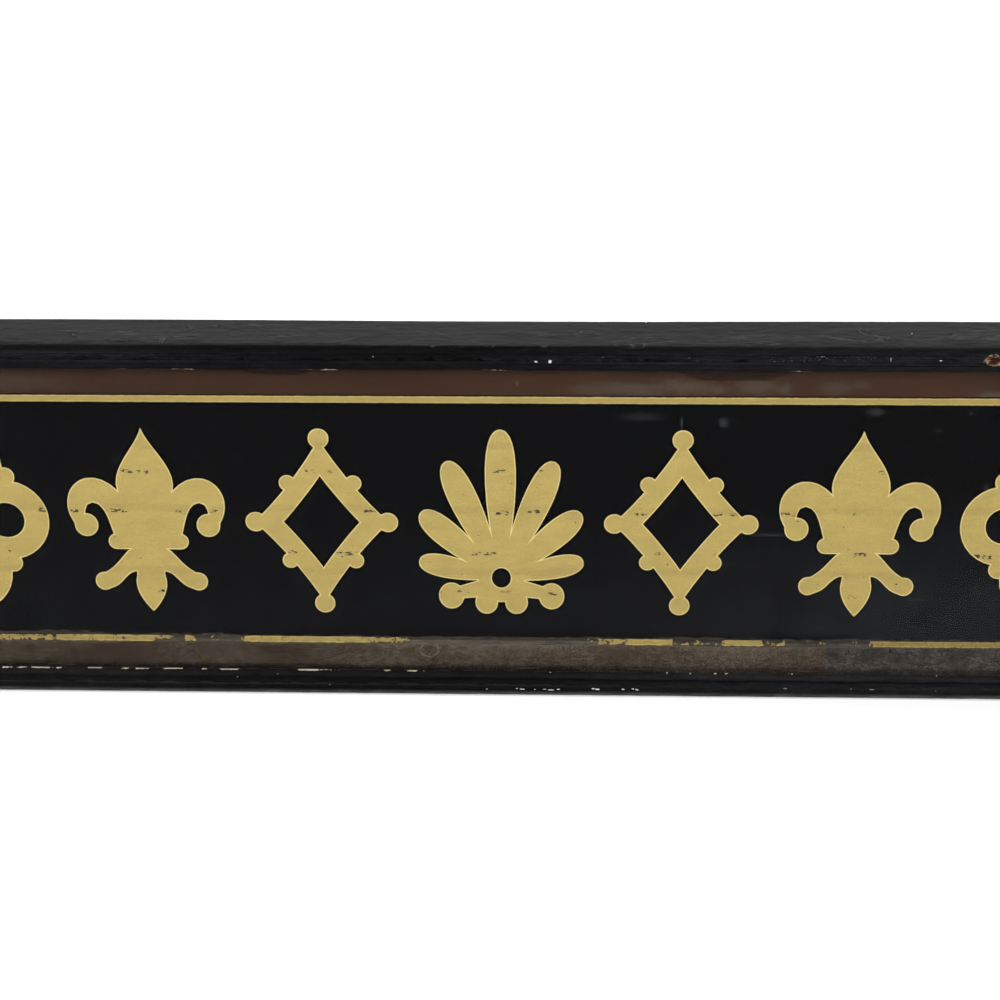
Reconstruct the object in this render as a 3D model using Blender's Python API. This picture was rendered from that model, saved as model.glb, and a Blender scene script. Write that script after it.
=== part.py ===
"""Shop fascia sign: reverse gilded plate glass in a deep, black painted tray frame.

Metres, +Z up. The sign stands on its lower edge with its length along X and its gilded face
towards -Y. The origin is the middle of its footprint.
"""

import math

import bmesh
import bpy
from mathutils import Vector
from mathutils.geometry import delaunay_2d_cdt, tessellate_polygon

# Overall size
SIGN_LENGTH = 3.100
SIGN_HEIGHT = 0.432
FRAME_DEPTH = 0.098

# Gap between pieces that touch
FIT = 0.0003

# Frame boards
TOP_BOARD_THICKNESS = 0.018
BOARD_THICKNESS = 0.0155
NOSE_RADIUS = 0.0055
ARRIS_CHAMFER = 0.0012
CORNER_LAP = 0.008

# Moulding run along the front edge of the top board, below its nose
RUN_QUIRK_START = 0.0064
RUN_QUIRK_WIDTH = 0.0018
RUN_QUIRK_DEPTH = 0.0034
RUN_BEAD_RADIUS = 0.0022
RUN_BEAD_SETBACK = 0.0010
RUN_FLAT_DEPTH = 0.0032

# Glazing moulding: quirk, bead and ovolo, from the board inwards
MOULDING_WIDTH = 0.012
MOULDING_BACK_DEPTH = 0.0095
MOULDING_SETBACK = 0.0012
QUIRK_WIDTH = 0.0020
QUIRK_DEPTH = 0.0046
BEAD_RADIUS = 0.0020
SIGHT_EDGE_DEPTH = 0.0060

# Glass and what beds it
PUTTY_THICKNESS = 0.0012
PUTTY_SETBACK = 0.0004
GLASS_THICKNESS = 0.006
GLASS_EDGE_ROOM = 0.003
SETTING_BLOCK_LENGTH = 0.060
SETTING_BLOCK_INSET = 0.620

# Gilding and paint on the back of the glass
GILT_THICKNESS = 0.0003
PAINT_THICKNESS = 0.0003
BORDER_WIDTH = 0.0330
GILT_LINE_WIDTH = 0.0085
GROUND_MARGIN = 0.0012
ORNAMENT_MARGIN = 0.031
ORNAMENT_LEAST_ROOM = 0.010

# Backing
PAPER_THICKNESS = 0.001
BACK_BOARD_THICKNESS = 0.012
BACK_BOARD_COUNT = 3
BACK_BOARD_ROOM = 0.001
TONGUE_LENGTH = 0.005
TONGUE_THICKNESS = 0.004
BATTEN_WIDTH = 0.064
BATTEN_THICKNESS = 0.024
BATTEN_CHAMFER = 0.005
BATTEN_COUNT = 5
BATTEN_END_INSET = 0.180
CORNER_BLOCK_LEG = 0.042
CORNER_BLOCK_SETBACK = 0.012

# Widths of the gilt ornaments
LOZENGE_WIDTH = 0.176
QUATREFOIL_WIDTH = 0.196
STAR_WIDTH = 0.188
ROSETTE_WIDTH = 0.190
PALMETTE_WIDTH = 0.190
FLEUR_WIDTH = 0.182
DROP_WIDTH = 0.088

# Places that follow from the sizes above
FRONT = -FRAME_DEPTH / 2
INNER_X = SIGN_LENGTH / 2 - BOARD_THICKNESS
INNER_BOTTOM = BOARD_THICKNESS
INNER_TOP = SIGN_HEIGHT - TOP_BOARD_THICKNESS
MIDDLE_Z = (INNER_TOP + INNER_BOTTOM) / 2
PUTTY_DEPTH = MOULDING_BACK_DEPTH + FIT
GLASS_DEPTH = PUTTY_DEPTH + PUTTY_THICKNESS + FIT
GILT_DEPTH = GLASS_DEPTH + GLASS_THICKNESS + FIT
PAINT_DEPTH = GILT_DEPTH + GILT_THICKNESS + FIT
PAPER_DEPTH = PAINT_DEPTH + PAINT_THICKNESS + FIT
BACK_BOARD_DEPTH = PAPER_DEPTH + PAPER_THICKNESS + FIT
BATTEN_DEPTH = BACK_BOARD_DEPTH + BACK_BOARD_THICKNESS + FIT
LINE_START = MOULDING_WIDTH + BORDER_WIDTH
LINE_END = LINE_START + GILT_LINE_WIDTH
GROUND_START = LINE_START - GROUND_MARGIN
ORNAMENT_HEIGHT = INNER_TOP - INNER_BOTTOM - 2 * (LINE_END + ORNAMENT_MARGIN)

ROUND_STEP = math.radians(20)
SMOOTH_ANGLE = math.radians(35)
MERGE_REACH = 1e-4

BLACK_PAINT = (0.012, 0.012, 0.013)
CREAM_PUTTY = (0.62, 0.55, 0.42)
CLEAR_GLASS = (0.80, 0.87, 0.84)
BROWN_PAINT = (0.052, 0.030, 0.022)
GOLD_LEAF = (0.52, 0.37, 0.12)
BLACK_GROUND = (0.007, 0.007, 0.008)
BROWN_PAPER = (0.24, 0.17, 0.10)
OLD_PINE = (0.34, 0.22, 0.12)
HARD_WOOD = (0.20, 0.12, 0.06)


def clear_scene():
    for old in list(bpy.data.objects):
        bpy.data.objects.remove(old, do_unlink=True)


def finish(name, colour, roughness, metallic=0.0):
    """A plain material for one sub-part."""
    material = bpy.data.materials.new(name + "_finish")
    material.use_nodes = True
    shader = material.node_tree.nodes["Principled BSDF"]
    shader.inputs["Base Color"].default_value = (*colour, 1.0)
    shader.inputs["Roughness"].default_value = roughness
    shader.inputs["Metallic"].default_value = metallic
    material.diffuse_color = (*colour, 1.0)
    return material


def add_piece(name, mesh_in_progress, material, is_round=False):
    """Closes a bmesh into a named object with its faces pointing out."""
    bmesh.ops.remove_doubles(mesh_in_progress, verts=mesh_in_progress.verts, dist=1e-6)
    bmesh.ops.recalc_face_normals(mesh_in_progress, faces=mesh_in_progress.faces)
    mesh = bpy.data.meshes.new(name)
    mesh_in_progress.to_mesh(mesh)
    mesh_in_progress.free()
    mesh.materials.append(material)
    if is_round:
        mesh.shade_smooth()
        mesh.set_sharp_from_angle(angle=SMOOTH_ANGLE)
    piece = bpy.data.objects.new(name, mesh)
    bpy.context.scene.collection.objects.link(piece)
    return piece


def arc(centre, radius, start, end):
    """Points of an arc, both ends included, angles in radians."""
    steps = max(2, math.ceil(abs(end - start) / ROUND_STEP))
    turn = (end - start) / steps
    return [
        (
            centre[0] + radius[0] * math.cos(start + turn * step),
            centre[1] + radius[1] * math.sin(start + turn * step),
        )
        for step in range(steps + 1)
    ]


def plate(name, outline, holes, depth, thickness, material):
    """A flat piece from an outline in X and Z, with holes, whose front lies at a depth."""
    loops = [outline, *holes]
    points = [point for loop in loops for point in loop]
    flat = [[(x, z, 0.0) for x, z in loop] for loop in loops]
    front_y = FRONT + depth
    shape = bmesh.new()
    front = [shape.verts.new((x, front_y, z)) for x, z in points]
    back = [shape.verts.new((x, front_y + thickness, z)) for x, z in points]
    for corners in tessellate_polygon(flat):
        shape.faces.new([front[corner] for corner in corners])
        shape.faces.new([back[corner] for corner in reversed(corners)])
    first = 0
    for loop in loops:
        count = len(loop)
        for step in range(count):
            here = first + step
            after = first + (step + 1) % count
            shape.faces.new((front[here], back[here], back[after], front[after]))
        first += count
    return add_piece(name, shape, material)


def extrusion(points, direction):
    """A bmesh prism from a closed loop of 3D points and the vector it is drawn along."""
    shape = bmesh.new()
    face = shape.faces.new([shape.verts.new(point) for point in points])
    drawn = bmesh.ops.extrude_face_region(shape, geom=[face])
    moved = [item for item in drawn["geom"] if isinstance(item, bmesh.types.BMVert)]
    bmesh.ops.translate(shape, verts=moved, vec=direction)
    return shape


def board_profile(thickness, edge_moulding=()):
    """Section of a board: distances in from its outer face, and depths, with a round nose."""
    nose = arc((NOSE_RADIUS, NOSE_RADIUS), (NOSE_RADIUS, NOSE_RADIUS), 1.5 * math.pi, math.pi)
    return [
        (ARRIS_CHAMFER, FRAME_DEPTH),
        (0.0, FRAME_DEPTH - ARRIS_CHAMFER),
        *[(across, depth) for depth, across in nose],
        *(edge_moulding or [(thickness, 0.0)]),
        (thickness, FRAME_DEPTH),
    ]


def run_moulding():
    """Quirk, bead and flat that are run along the front edge of the top board."""
    quirk_end = RUN_QUIRK_START + RUN_QUIRK_WIDTH
    bead_centre = (quirk_end + RUN_BEAD_RADIUS, RUN_BEAD_SETBACK + RUN_BEAD_RADIUS)
    bead = arc(bead_centre, (RUN_BEAD_RADIUS, RUN_BEAD_RADIUS), math.pi, 2 * math.pi)
    return [
        (RUN_QUIRK_START, 0.0),
        (RUN_QUIRK_START, RUN_QUIRK_DEPTH),
        (quirk_end, RUN_QUIRK_DEPTH),
        *bead,
        (TOP_BOARD_THICKNESS, RUN_FLAT_DEPTH),
    ]


def is_end_face(face):
    return abs(face.normal.x) > 0.5


def add_long_board(name, profile, outer_z, inwards):
    """A board along the sign, from its section, with a lap at each end for the end board."""
    end = SIGN_LENGTH / 2
    lap_x = end - BOARD_THICKNESS - FIT
    inner_z = outer_z + inwards * profile[-1][0]
    lap_z = inner_z - inwards * CORNER_LAP
    points = [(-lap_x, FRONT + depth, outer_z + inwards * across) for across, depth in profile]
    shape = extrusion(points, (2 * lap_x, 0.0, 0.0))
    bmesh.ops.recalc_face_normals(shape, faces=shape.faces)
    ends = [face for face in shape.faces if is_end_face(face)]
    around_ends = [*ends, *{edge for face in ends for edge in face.edges}]
    around_ends += {vert for face in ends for vert in face.verts}
    bmesh.ops.bisect_plane(
        shape, geom=around_ends, plane_co=(0.0, 0.0, lap_z), plane_no=(0.0, 0.0, 1.0)
    )
    laps = [
        face
        for face in shape.faces
        if is_end_face(face) and (face.calc_center_median().z - lap_z) * inwards < 0
    ]
    for lap in laps:
        side = math.copysign(1.0, lap.normal.x)
        drawn = bmesh.ops.extrude_discrete_faces(shape, faces=[lap])
        verts = drawn["faces"][0].verts
        bmesh.ops.translate(shape, verts=verts, vec=(side * (end - lap_x), 0.0, 0.0))
    return add_piece(name, shape, finish(name, BLACK_PAINT, 0.45), is_round=True)


def add_end_board(name, side):
    """A board at one end of the sign, between the laps of the long boards."""
    low = INNER_BOTTOM - CORNER_LAP + FIT
    high = INNER_TOP + CORNER_LAP - FIT
    outer_x = side * SIGN_LENGTH / 2
    points = [
        (outer_x - side * across, FRONT + depth, low)
        for across, depth in board_profile(BOARD_THICKNESS)
    ]
    shape = extrusion(points, (0.0, 0.0, high - low))
    return add_piece(name, shape, finish(name, BLACK_PAINT, 0.45), is_round=True)


def add_frame_boards():
    top_profile = board_profile(TOP_BOARD_THICKNESS, run_moulding())
    add_long_board("top_board", top_profile, SIGN_HEIGHT, -1)
    add_long_board("bottom_board", board_profile(BOARD_THICKNESS), 0.0, 1)
    add_end_board("left_end_board", -1)
    add_end_board("right_end_board", 1)


def place_on_side(side, across, along_end):
    """X and Z of a point a distance in from the boards, at one end of its side's run.

    along_end is -1 or 1, and ends stop short of the mitre line by half of the fit.
    """
    stop = FIT / math.sqrt(2)
    if side in ("top", "bottom"):
        z = INNER_TOP - across if side == "top" else INNER_BOTTOM + across
        return along_end * (INNER_X - across - stop), z
    x = INNER_X - across if side == "right" else across - INNER_X
    half_run = (INNER_TOP - INNER_BOTTOM) / 2 - across - stop
    return x, MIDDLE_Z + along_end * half_run


def mitred_strip(name, side, profile, material, is_round=False):
    """A strip along one side of the frame, from a profile of distances inwards and depths."""
    shape = bmesh.new()
    rings = []
    for along_end in (-1, 1):
        ring = []
        for across, depth in profile:
            x, z = place_on_side(side, across, along_end)
            ring.append(shape.verts.new((x, FRONT + depth, z)))
        rings.append(ring)
    count = len(profile)
    for step in range(count):
        after = (step + 1) % count
        shape.faces.new((rings[0][step], rings[0][after], rings[1][after], rings[1][step]))
    for ring in rings:
        shape.faces.new(ring)
    return add_piece(name, shape, material, is_round)


def box_profile(start, end, depth, thickness):
    return [(start, depth), (end, depth), (end, depth + thickness), (start, depth + thickness)]


def moulding_profile():
    """Quirk beside the board, a bead, an ovolo down to the sight edge and the back in the rebate."""
    bead_centre = (QUIRK_WIDTH + BEAD_RADIUS, MOULDING_SETBACK + BEAD_RADIUS)
    crown = QUIRK_WIDTH + BEAD_RADIUS
    fall = SIGHT_EDGE_DEPTH - MOULDING_SETBACK
    bead = arc(bead_centre, (BEAD_RADIUS, BEAD_RADIUS), math.pi, 1.5 * math.pi)
    ovolo = arc(
        (crown, SIGHT_EDGE_DEPTH), (MOULDING_WIDTH - crown, fall), -math.pi / 2, 0.0
    )
    return [
        (FIT, QUIRK_DEPTH),
        (QUIRK_WIDTH, QUIRK_DEPTH),
        *bead,
        *ovolo[1:],
        (MOULDING_WIDTH, MOULDING_BACK_DEPTH),
        (FIT, MOULDING_BACK_DEPTH),
    ]


def add_side_strips():
    """Moulding, putty, painted border and gilt line on each of the four sides."""
    putty = box_profile(
        GLASS_EDGE_ROOM, MOULDING_WIDTH - PUTTY_SETBACK, PUTTY_DEPTH, PUTTY_THICKNESS
    )
    border = box_profile(GLASS_EDGE_ROOM, GROUND_START - FIT, PAINT_DEPTH, PAINT_THICKNESS)
    line = box_profile(LINE_START, LINE_END, GILT_DEPTH, GILT_THICKNESS)
    for side in ("top", "bottom", "left", "right"):
        name = side + "_moulding"
        black = finish(name, BLACK_PAINT, 0.45)
        mitred_strip(name, side, moulding_profile(), black, is_round=True)
        name = side + "_putty"
        mitred_strip(name, side, putty, finish(name, CREAM_PUTTY, 0.9))
        name = side + "_brown_border"
        mitred_strip(name, side, border, finish(name, BROWN_PAINT, 0.55))
        name = side + "_gilt_line"
        mitred_strip(name, side, line, finish(name, GOLD_LEAF, 0.4, 0.6))


def rectangle(half_width, low, high):
    return [(-half_width, low), (half_width, low), (half_width, high), (-half_width, high)]


def add_sheets():
    """Glass pane, black ground and backing paper."""
    glass = rectangle(
        INNER_X - GLASS_EDGE_ROOM, INNER_BOTTOM + GLASS_EDGE_ROOM, INNER_TOP - GLASS_EDGE_ROOM
    )
    clear = finish("glass_pane", CLEAR_GLASS, 0.05)
    plate("glass_pane", glass, [], GLASS_DEPTH, GLASS_THICKNESS, clear)
    ground = rectangle(
        INNER_X - GROUND_START, INNER_BOTTOM + GROUND_START, INNER_TOP - GROUND_START
    )
    black = finish("black_ground", BLACK_GROUND, 0.4)
    plate("black_ground", ground, [], PAINT_DEPTH, PAINT_THICKNESS, black)
    brown = finish("backing_paper", BROWN_PAPER, 0.95)
    plate("backing_paper", glass, [], PAPER_DEPTH, PAPER_THICKNESS, brown)


def add_setting_blocks():
    """Thin hardwood blocks that carry the glass on the bottom board."""
    low = INNER_BOTTOM + FIT
    high = INNER_BOTTOM + GLASS_EDGE_ROOM - FIT
    thickness = GLASS_DEPTH + GLASS_THICKNESS - PUTTY_DEPTH
    for name, side in (("left_setting_block", -1), ("right_setting_block", 1)):
        middle = side * (INNER_X - SETTING_BLOCK_INSET)
        outline = [
            (middle + x, z) for x, z in rectangle(SETTING_BLOCK_LENGTH / 2, low, high)
        ]
        plate(name, outline, [], PUTTY_DEPTH, thickness, finish(name, HARD_WOOD, 0.8))


def back_board_profile(low, high, has_groove, has_tongue):
    """Y and Z of a matched board: groove along its lower edge, tongue along its upper edge."""
    front = FRONT + BACK_BOARD_DEPTH
    back = front + BACK_BOARD_THICKNESS
    middle = (front + back) / 2
    half_tongue = TONGUE_THICKNESS / 2
    half_groove = half_tongue + FIT
    points = [(front, low)]
    if has_groove:
        roof = low + TONGUE_LENGTH - BACK_BOARD_ROOM + FIT
        points += [
            (middle - half_groove, low),
            (middle - half_groove, roof),
            (middle + half_groove, roof),
            (middle + half_groove, low),
        ]
    points += [(back, low), (back, high)]
    if has_tongue:
        tip = high + TONGUE_LENGTH
        points += [
            (middle + half_tongue, high),
            (middle + half_tongue, tip),
            (middle - half_tongue, tip),
            (middle - half_tongue, high),
        ]
    points.append((front, high))
    return points


def add_back_boards():
    """Matched boards laid along the sign, close behind the paper."""
    half_length = INNER_X - BACK_BOARD_ROOM
    bottom = INNER_BOTTOM + BACK_BOARD_ROOM
    top = INNER_TOP - BACK_BOARD_ROOM
    joints = BACK_BOARD_COUNT - 1
    width = (top - bottom - joints * BACK_BOARD_ROOM) / BACK_BOARD_COUNT
    for index in range(BACK_BOARD_COUNT):
        low = bottom + index * (width + BACK_BOARD_ROOM)
        profile = back_board_profile(low, low + width, index > 0, index < joints)
        points = [(-half_length, y, z) for y, z in profile]
        shape = extrusion(points, (2 * half_length, 0.0, 0.0))
        name = f"back_board_{index + 1}"
        add_piece(name, shape, finish(name, OLD_PINE, 0.85))


def add_battens():
    """Upright battens across the back boards, between the top and bottom boards."""
    front = FRONT + BATTEN_DEPTH
    back = front + BATTEN_THICKNESS
    half = BATTEN_WIDTH / 2
    reach = INNER_X - BATTEN_END_INSET - half
    low = INNER_BOTTOM + FIT
    rise = INNER_TOP - INNER_BOTTOM - 2 * FIT
    for index in range(BATTEN_COUNT):
        middle = -reach + 2 * reach * index / (BATTEN_COUNT - 1)
        points = [
            (middle - half, front, low),
            (middle + half, front, low),
            (middle + half, back - BATTEN_CHAMFER, low),
            (middle + half - BATTEN_CHAMFER, back, low),
            (middle - half + BATTEN_CHAMFER, back, low),
            (middle - half, back - BATTEN_CHAMFER, low),
        ]
        shape = extrusion(points, (0.0, 0.0, rise))
        name = f"batten_{index + 1}"
        add_piece(name, shape, finish(name, OLD_PINE, 0.85))


def add_corner_blocks():
    """Three-cornered blocks glued into the inner corners behind the back boards."""
    length = FRAME_DEPTH - BATTEN_DEPTH - CORNER_BLOCK_SETBACK
    for name, side, edge_z, up in (
        ("top_left_corner_block", -1, INNER_TOP, -1),
        ("top_right_corner_block", 1, INNER_TOP, -1),
        ("bottom_left_corner_block", -1, INNER_BOTTOM, 1),
        ("bottom_right_corner_block", 1, INNER_BOTTOM, 1),
    ):
        x = side * (INNER_X - FIT)
        z = edge_z + up * FIT
        outline = [(x, z), (x - side * CORNER_BLOCK_LEG, z), (x, z + up * CORNER_BLOCK_LEG)]
        plate(name, outline, [], BATTEN_DEPTH, length, finish(name, OLD_PINE, 0.85))


def disc(x, z, radius, sides=20):
    turn = 2 * math.pi / sides
    return [
        (x + radius * math.cos(turn * side), z + radius * math.sin(turn * side))
        for side in range(sides)
    ]


def curve_run(start, first_pull, second_pull, end, steps):
    """Points along a cubic curve, the start included and the end left to the next run."""
    points = []
    for step in range(steps):
        late = step / steps
        early = 1 - late
        weights = (early**3, 3 * early * early * late, 3 * early * late * late, late**3)
        places = (start, first_pull, second_pull, end)
        points.append(
            tuple(
                sum(weight * place[axis] for weight, place in zip(weights, places))
                for axis in (0, 1)
            )
        )
    return points


def mirrored(half):
    """A closed outline from its right half, whose first and last points lie on the middle line."""
    return half + [(-x, z) for x, z in reversed(half[1:-1])]


def turned(points, bearing):
    """A shape turned about the middle, anticlockwise, in degrees."""
    cosine = math.cos(math.radians(bearing))
    sine = math.sin(math.radians(bearing))
    return [(x * cosine - z * sine, x * sine + z * cosine) for x, z in points]


def moved(points, x_shift, z_shift):
    return [(x + x_shift, z + z_shift) for x, z in points]


def squeezed(points, share):
    return [(x * share, z) for x, z in points]


def around(shape, bearings):
    """Copies of a shape that points up, turned about the middle."""
    return [turned(shape, bearing) for bearing in bearings]


def in_quarters(x, z, radius):
    """Four equal discs, one in each quarter."""
    return [disc(side * x, end * z, radius, 16) for side in (-1, 1) for end in (-1, 1)]


def concave_lozenge(half_width, half_height, hollow, steps=9):
    """A lozenge whose sides draw in. At a hollow of 2 they are straight."""
    points = []
    for step in range(4 * steps):
        angle = math.pi / 2 * step / steps
        cosine = math.cos(angle)
        sine = math.sin(angle)
        points.append(
            (
                half_width * math.copysign(abs(cosine) ** hollow, cosine),
                half_height * math.copysign(abs(sine) ** hollow, sine),
            )
        )
    return points


def leaf(root, tip, half_width, root_width):
    """A leaf with a round end that points up from its root."""
    length = tip - root
    half = curve_run(
        (0.0, tip),
        (half_width * 1.15, tip),
        (half_width * 1.25, tip - 0.42 * length),
        (root_width, root),
        10,
    )
    return mirrored([*half, (root_width, root), (0.0, root)])


def signed_area(loop):
    return sum(x * after_z - after_x * z for (x, z), (after_x, after_z) in ring_pairs(loop)) / 2


def ring_pairs(loop):
    return zip(loop, loop[1:] + loop[:1])


def joined(solids, cuts):
    """The outline and the holes of flat shapes joined together, less the cuts."""
    points = []
    faces = []
    for loop in solids + cuts:
        ordered = loop if signed_area(loop) > 0 else loop[::-1]
        faces.append(list(range(len(points), len(points) + len(ordered))))
        points += [Vector(point) for point in ordered]
    places, _, triangles, _, _, sources = delaunay_2d_cdt(points, [], faces, 1, MERGE_REACH)
    kept = [
        triangle
        for triangle, source in zip(triangles, sources)
        if source and max(source) < len(solids)
    ]
    sides = {side for triangle in kept for side in ring_pairs(list(triangle))}
    following = {start: end for start, end in sides if (end, start) not in sides}
    loops = []
    while following:
        first, here = following.popitem()
        loop = [first]
        while here != first:
            loop.append(here)
            here = following.pop(here)
        loops.append([tuple(places[index]) for index in loop])
    loops.sort(key=signed_area)
    return loops[-1], loops[:-1]


def lozenge_motif():
    """An open lozenge with a ball on each point and studs along its sides."""
    body = concave_lozenge(0.70, 0.90, 2.25)
    balls = [disc(0.0, 0.895, 0.105), disc(0.0, -0.895, 0.105)]
    balls += [disc(0.675, 0.0, 0.105), disc(-0.675, 0.0, 0.105)]
    studs = in_quarters(0.335, 0.42, 0.085) + in_quarters(0.185, 0.235, 0.075)
    return joined([body, *balls, *studs], [concave_lozenge(0.39, 0.50, 2.1)])


def quatrefoil_motif():
    """Four open lobes about a boss, with a bud in each angle between them."""
    lobes = [disc(0.0, 0.57, 0.43, 32), disc(0.0, -0.57, 0.43, 32)]
    lobes += [disc(0.43, 0.0, 0.43, 32), disc(-0.43, 0.0, 0.43, 32)]
    buds = in_quarters(0.448, 0.470, 0.10)
    upright = mirrored([(0.0, 0.17), (0.19, 0.50), (0.0, 0.62)])
    level = [(0.14, 0.0), (0.38, 0.17), (0.45, 0.0), (0.38, -0.17)]
    cuts = [disc(0.0, 0.57, 0.215), upright, disc(0.42, 0.0, 0.19), level]
    cuts += [[(-x, -z) for x, z in cut] for cut in cuts]
    return joined([*lobes, *buds, disc(0.0, 0.0, 0.16)], cuts)


def ray(tip, shoulder, waist):
    """A ray that points up from the middle and narrows towards its tip."""
    root = (0.245, 0.21)
    half = curve_run((0.055, tip), (0.065, waist), (0.12, shoulder), root, 6)
    return mirrored([(0.0, tip), *half, root, (0.0, 0.10)])


def star_motif():
    """Four long rays and four short ones, each ending in a ball, about an open eye."""
    upright = around(ray(0.90, 0.42, 0.62), (0, 180))
    level = [squeezed(shape, 0.84) for shape in around(ray(0.90, 0.42, 0.62), (90, 270))]
    slanting = around(ray(0.68, 0.40, 0.52), (45, 135, 225, 315))
    balls = [disc(0.0, 0.90, 0.10), disc(0.0, -0.90, 0.10)]
    balls += [disc(0.76, 0.0, 0.10), disc(-0.76, 0.0, 0.10), *in_quarters(0.48, 0.48, 0.08)]
    hub = disc(0.0, 0.0, 0.36, 24)
    return joined([*upright, *level, *slanting, hub, *balls], [disc(0.0, 0.0, 0.13)])


def rosette_motif():
    """Eight petals, each notched at its end, with a pierced ring about a boss."""
    bearings = [45 * petal for petal in range(8)]
    half_petals = around(disc(0.088, 0.80, 0.155, 18), bearings)
    half_petals += around(disc(-0.088, 0.80, 0.155, 18), bearings)
    petals = around(mirrored([(0.0, 0.86), (0.235, 0.74), (0.15, 0.34), (0.0, 0.30)]), bearings)
    hub = disc(0.0, 0.0, 0.50, 32)
    drops = around(leaf(0.22, 0.42, 0.045, 0.012), [22.5 + bearing for bearing in bearings])
    shapes = [squeezed(shape, 0.86) for shape in [*half_petals, *petals, hub]]
    return joined(shapes, [squeezed(drop, 0.86) for drop in drops])


def palmette_motif():
    """A fan of seven leaves over two ball scrolls and a collar."""
    root_z = -0.60
    solids = [disc(0.0, 0.0, 0.27, 24)]
    for bearing, tip, half_width in ((0, 1.60, 0.185), (26, 1.40, 0.17), (52, 1.15, 0.155)):
        solids += around(leaf(0.12, tip, half_width, 0.05), sorted({bearing, -bearing}))
    solids += around(leaf(0.12, 0.95, 0.13, 0.05), (79, -79))
    for side in (-1, 1):
        solids += [disc(side * 0.57, -0.20, 0.145), disc(side * 0.17, -0.27, 0.13)]
        arm = [(0.0, 0.05), (0.50, -0.10), (0.55, -0.24), (0.10, -0.20)]
        solids.append([(side * x, z) for x, z in arm])
    solids.append(concave_lozenge(0.20, 0.16, 2.0))
    shifted = [moved(shape, 0.0, root_z) for shape in solids]
    eye = disc(0.0, root_z, 0.11)
    return joined(shifted, [eye])


def fleur_motif():
    """A lily: a middle petal, two side petals that end in balls, a band and three tails."""
    half = curve_run((0.0, 1.0), (0.05, 0.82), (0.30, 0.62), (0.30, 0.40), 9)
    half += curve_run((0.30, 0.40), (0.30, 0.22), (0.12, 0.10), (0.115, -0.12), 7)
    half += curve_run((0.115, -0.12), (0.14, -0.30), (0.14, -0.34), (0.15, -0.60), 3)
    half += curve_run((0.15, -0.60), (0.20, -0.74), (0.10, -0.90), (0.0, -1.0), 7)
    middle = mirrored([*half, (0.0, -1.0)])
    wing = curve_run((0.03, -0.12), (0.12, 0.14), (0.34, 0.52), (0.62, 0.46), 9)
    wing += curve_run((0.62, 0.46), (0.84, 0.40), (0.90, 0.12), (0.74, -0.06), 9)
    wing += curve_run((0.74, -0.06), (0.60, 0.00), (0.70, 0.19), (0.56, 0.20), 5)
    wing += curve_run((0.56, 0.20), (0.42, 0.19), (0.40, -0.04), (0.34, -0.22), 6)
    wing += [(0.34, -0.22), (0.03, -0.22)]
    tail = curve_run((0.10, -0.26), (0.28, -0.30), (0.28, -0.46), (0.50, -0.58), 6)
    tail += [(0.50, -0.58), (0.46, -0.74)]
    tail += curve_run((0.42, -0.74), (0.28, -0.70), (0.26, -0.52), (0.10, -0.56), 6)
    tail += [(0.10, -0.56)]
    ball = disc(0.645, -0.045, 0.125)
    foot = disc(0.50, -0.665, 0.10)
    solids = [middle]
    for shape in (wing, tail, ball, foot):
        solids += [shape, [(-x, z) for x, z in shape]]
    band_end = disc(0.34, -0.225, 0.085)
    band = [(-0.34, -0.31), (0.34, -0.31), (0.34, -0.14), (-0.34, -0.14)]
    solids += [band, band_end, [(-x, z) for x, z in band_end]]
    return joined(solids, [])


def drop_motif():
    """A narrow upright chain of lozenges and balls."""
    solids = [concave_lozenge(0.38, 0.52, 2.6)]
    for end in (-1, 1):
        solids += [moved(concave_lozenge(0.23, 0.235, 2.7, 7), 0.0, end * 0.765)]
        solids += [disc(0.0, end * 0.51, 0.105)]
    link = [(-0.05, -0.66), (0.05, -0.66), (0.05, 0.66), (-0.05, 0.66)]
    return joined([*solids, link], [concave_lozenge(0.10, 0.16, 2.2, 5)])


MOTIFS = {
    "lozenge": (lozenge_motif, LOZENGE_WIDTH),
    "quatrefoil": (quatrefoil_motif, QUATREFOIL_WIDTH),
    "star": (star_motif, STAR_WIDTH),
    "rosette": (rosette_motif, ROSETTE_WIDTH),
    "palmette": (palmette_motif, PALMETTE_WIDTH),
    "fleur": (fleur_motif, FLEUR_WIDTH),
    "drop": (drop_motif, DROP_WIDTH),
}
HALF_ROW = ("palmette", "lozenge", "fleur", "quatrefoil", "drop", "star", "rosette", "fleur")


def motif_width(kind):
    return MOTIFS[kind][1]


def fitted(loops, width, middle_x):
    """Loops of a motif drawn to its width and to the height of the row, outline first."""
    xs = [x for x, z in loops[0]]
    zs = [z for x, z in loops[0]]
    x_scale = width / (max(xs) - min(xs))
    z_scale = ORNAMENT_HEIGHT / (max(zs) - min(zs))
    x_middle = (min(xs) + max(xs)) / 2
    z_middle = (min(zs) + max(zs)) / 2
    return [
        [
            (middle_x + (x - x_middle) * x_scale, MIDDLE_Z + (z - z_middle) * z_scale)
            for x, z in loop
        ]
        for loop in loops
    ]


def add_ornament(number, kind, middle_x):
    outline, holes = MOTIFS[kind][0]()
    loops = fitted([outline, *holes], motif_width(kind), middle_x)
    name = f"gilt_{number:02d}_{kind}"
    gold = finish(name, GOLD_LEAF, 0.4, 0.6)
    plate(name, loops[0], loops[1:], GILT_DEPTH, GILT_THICKNESS, gold)


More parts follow.
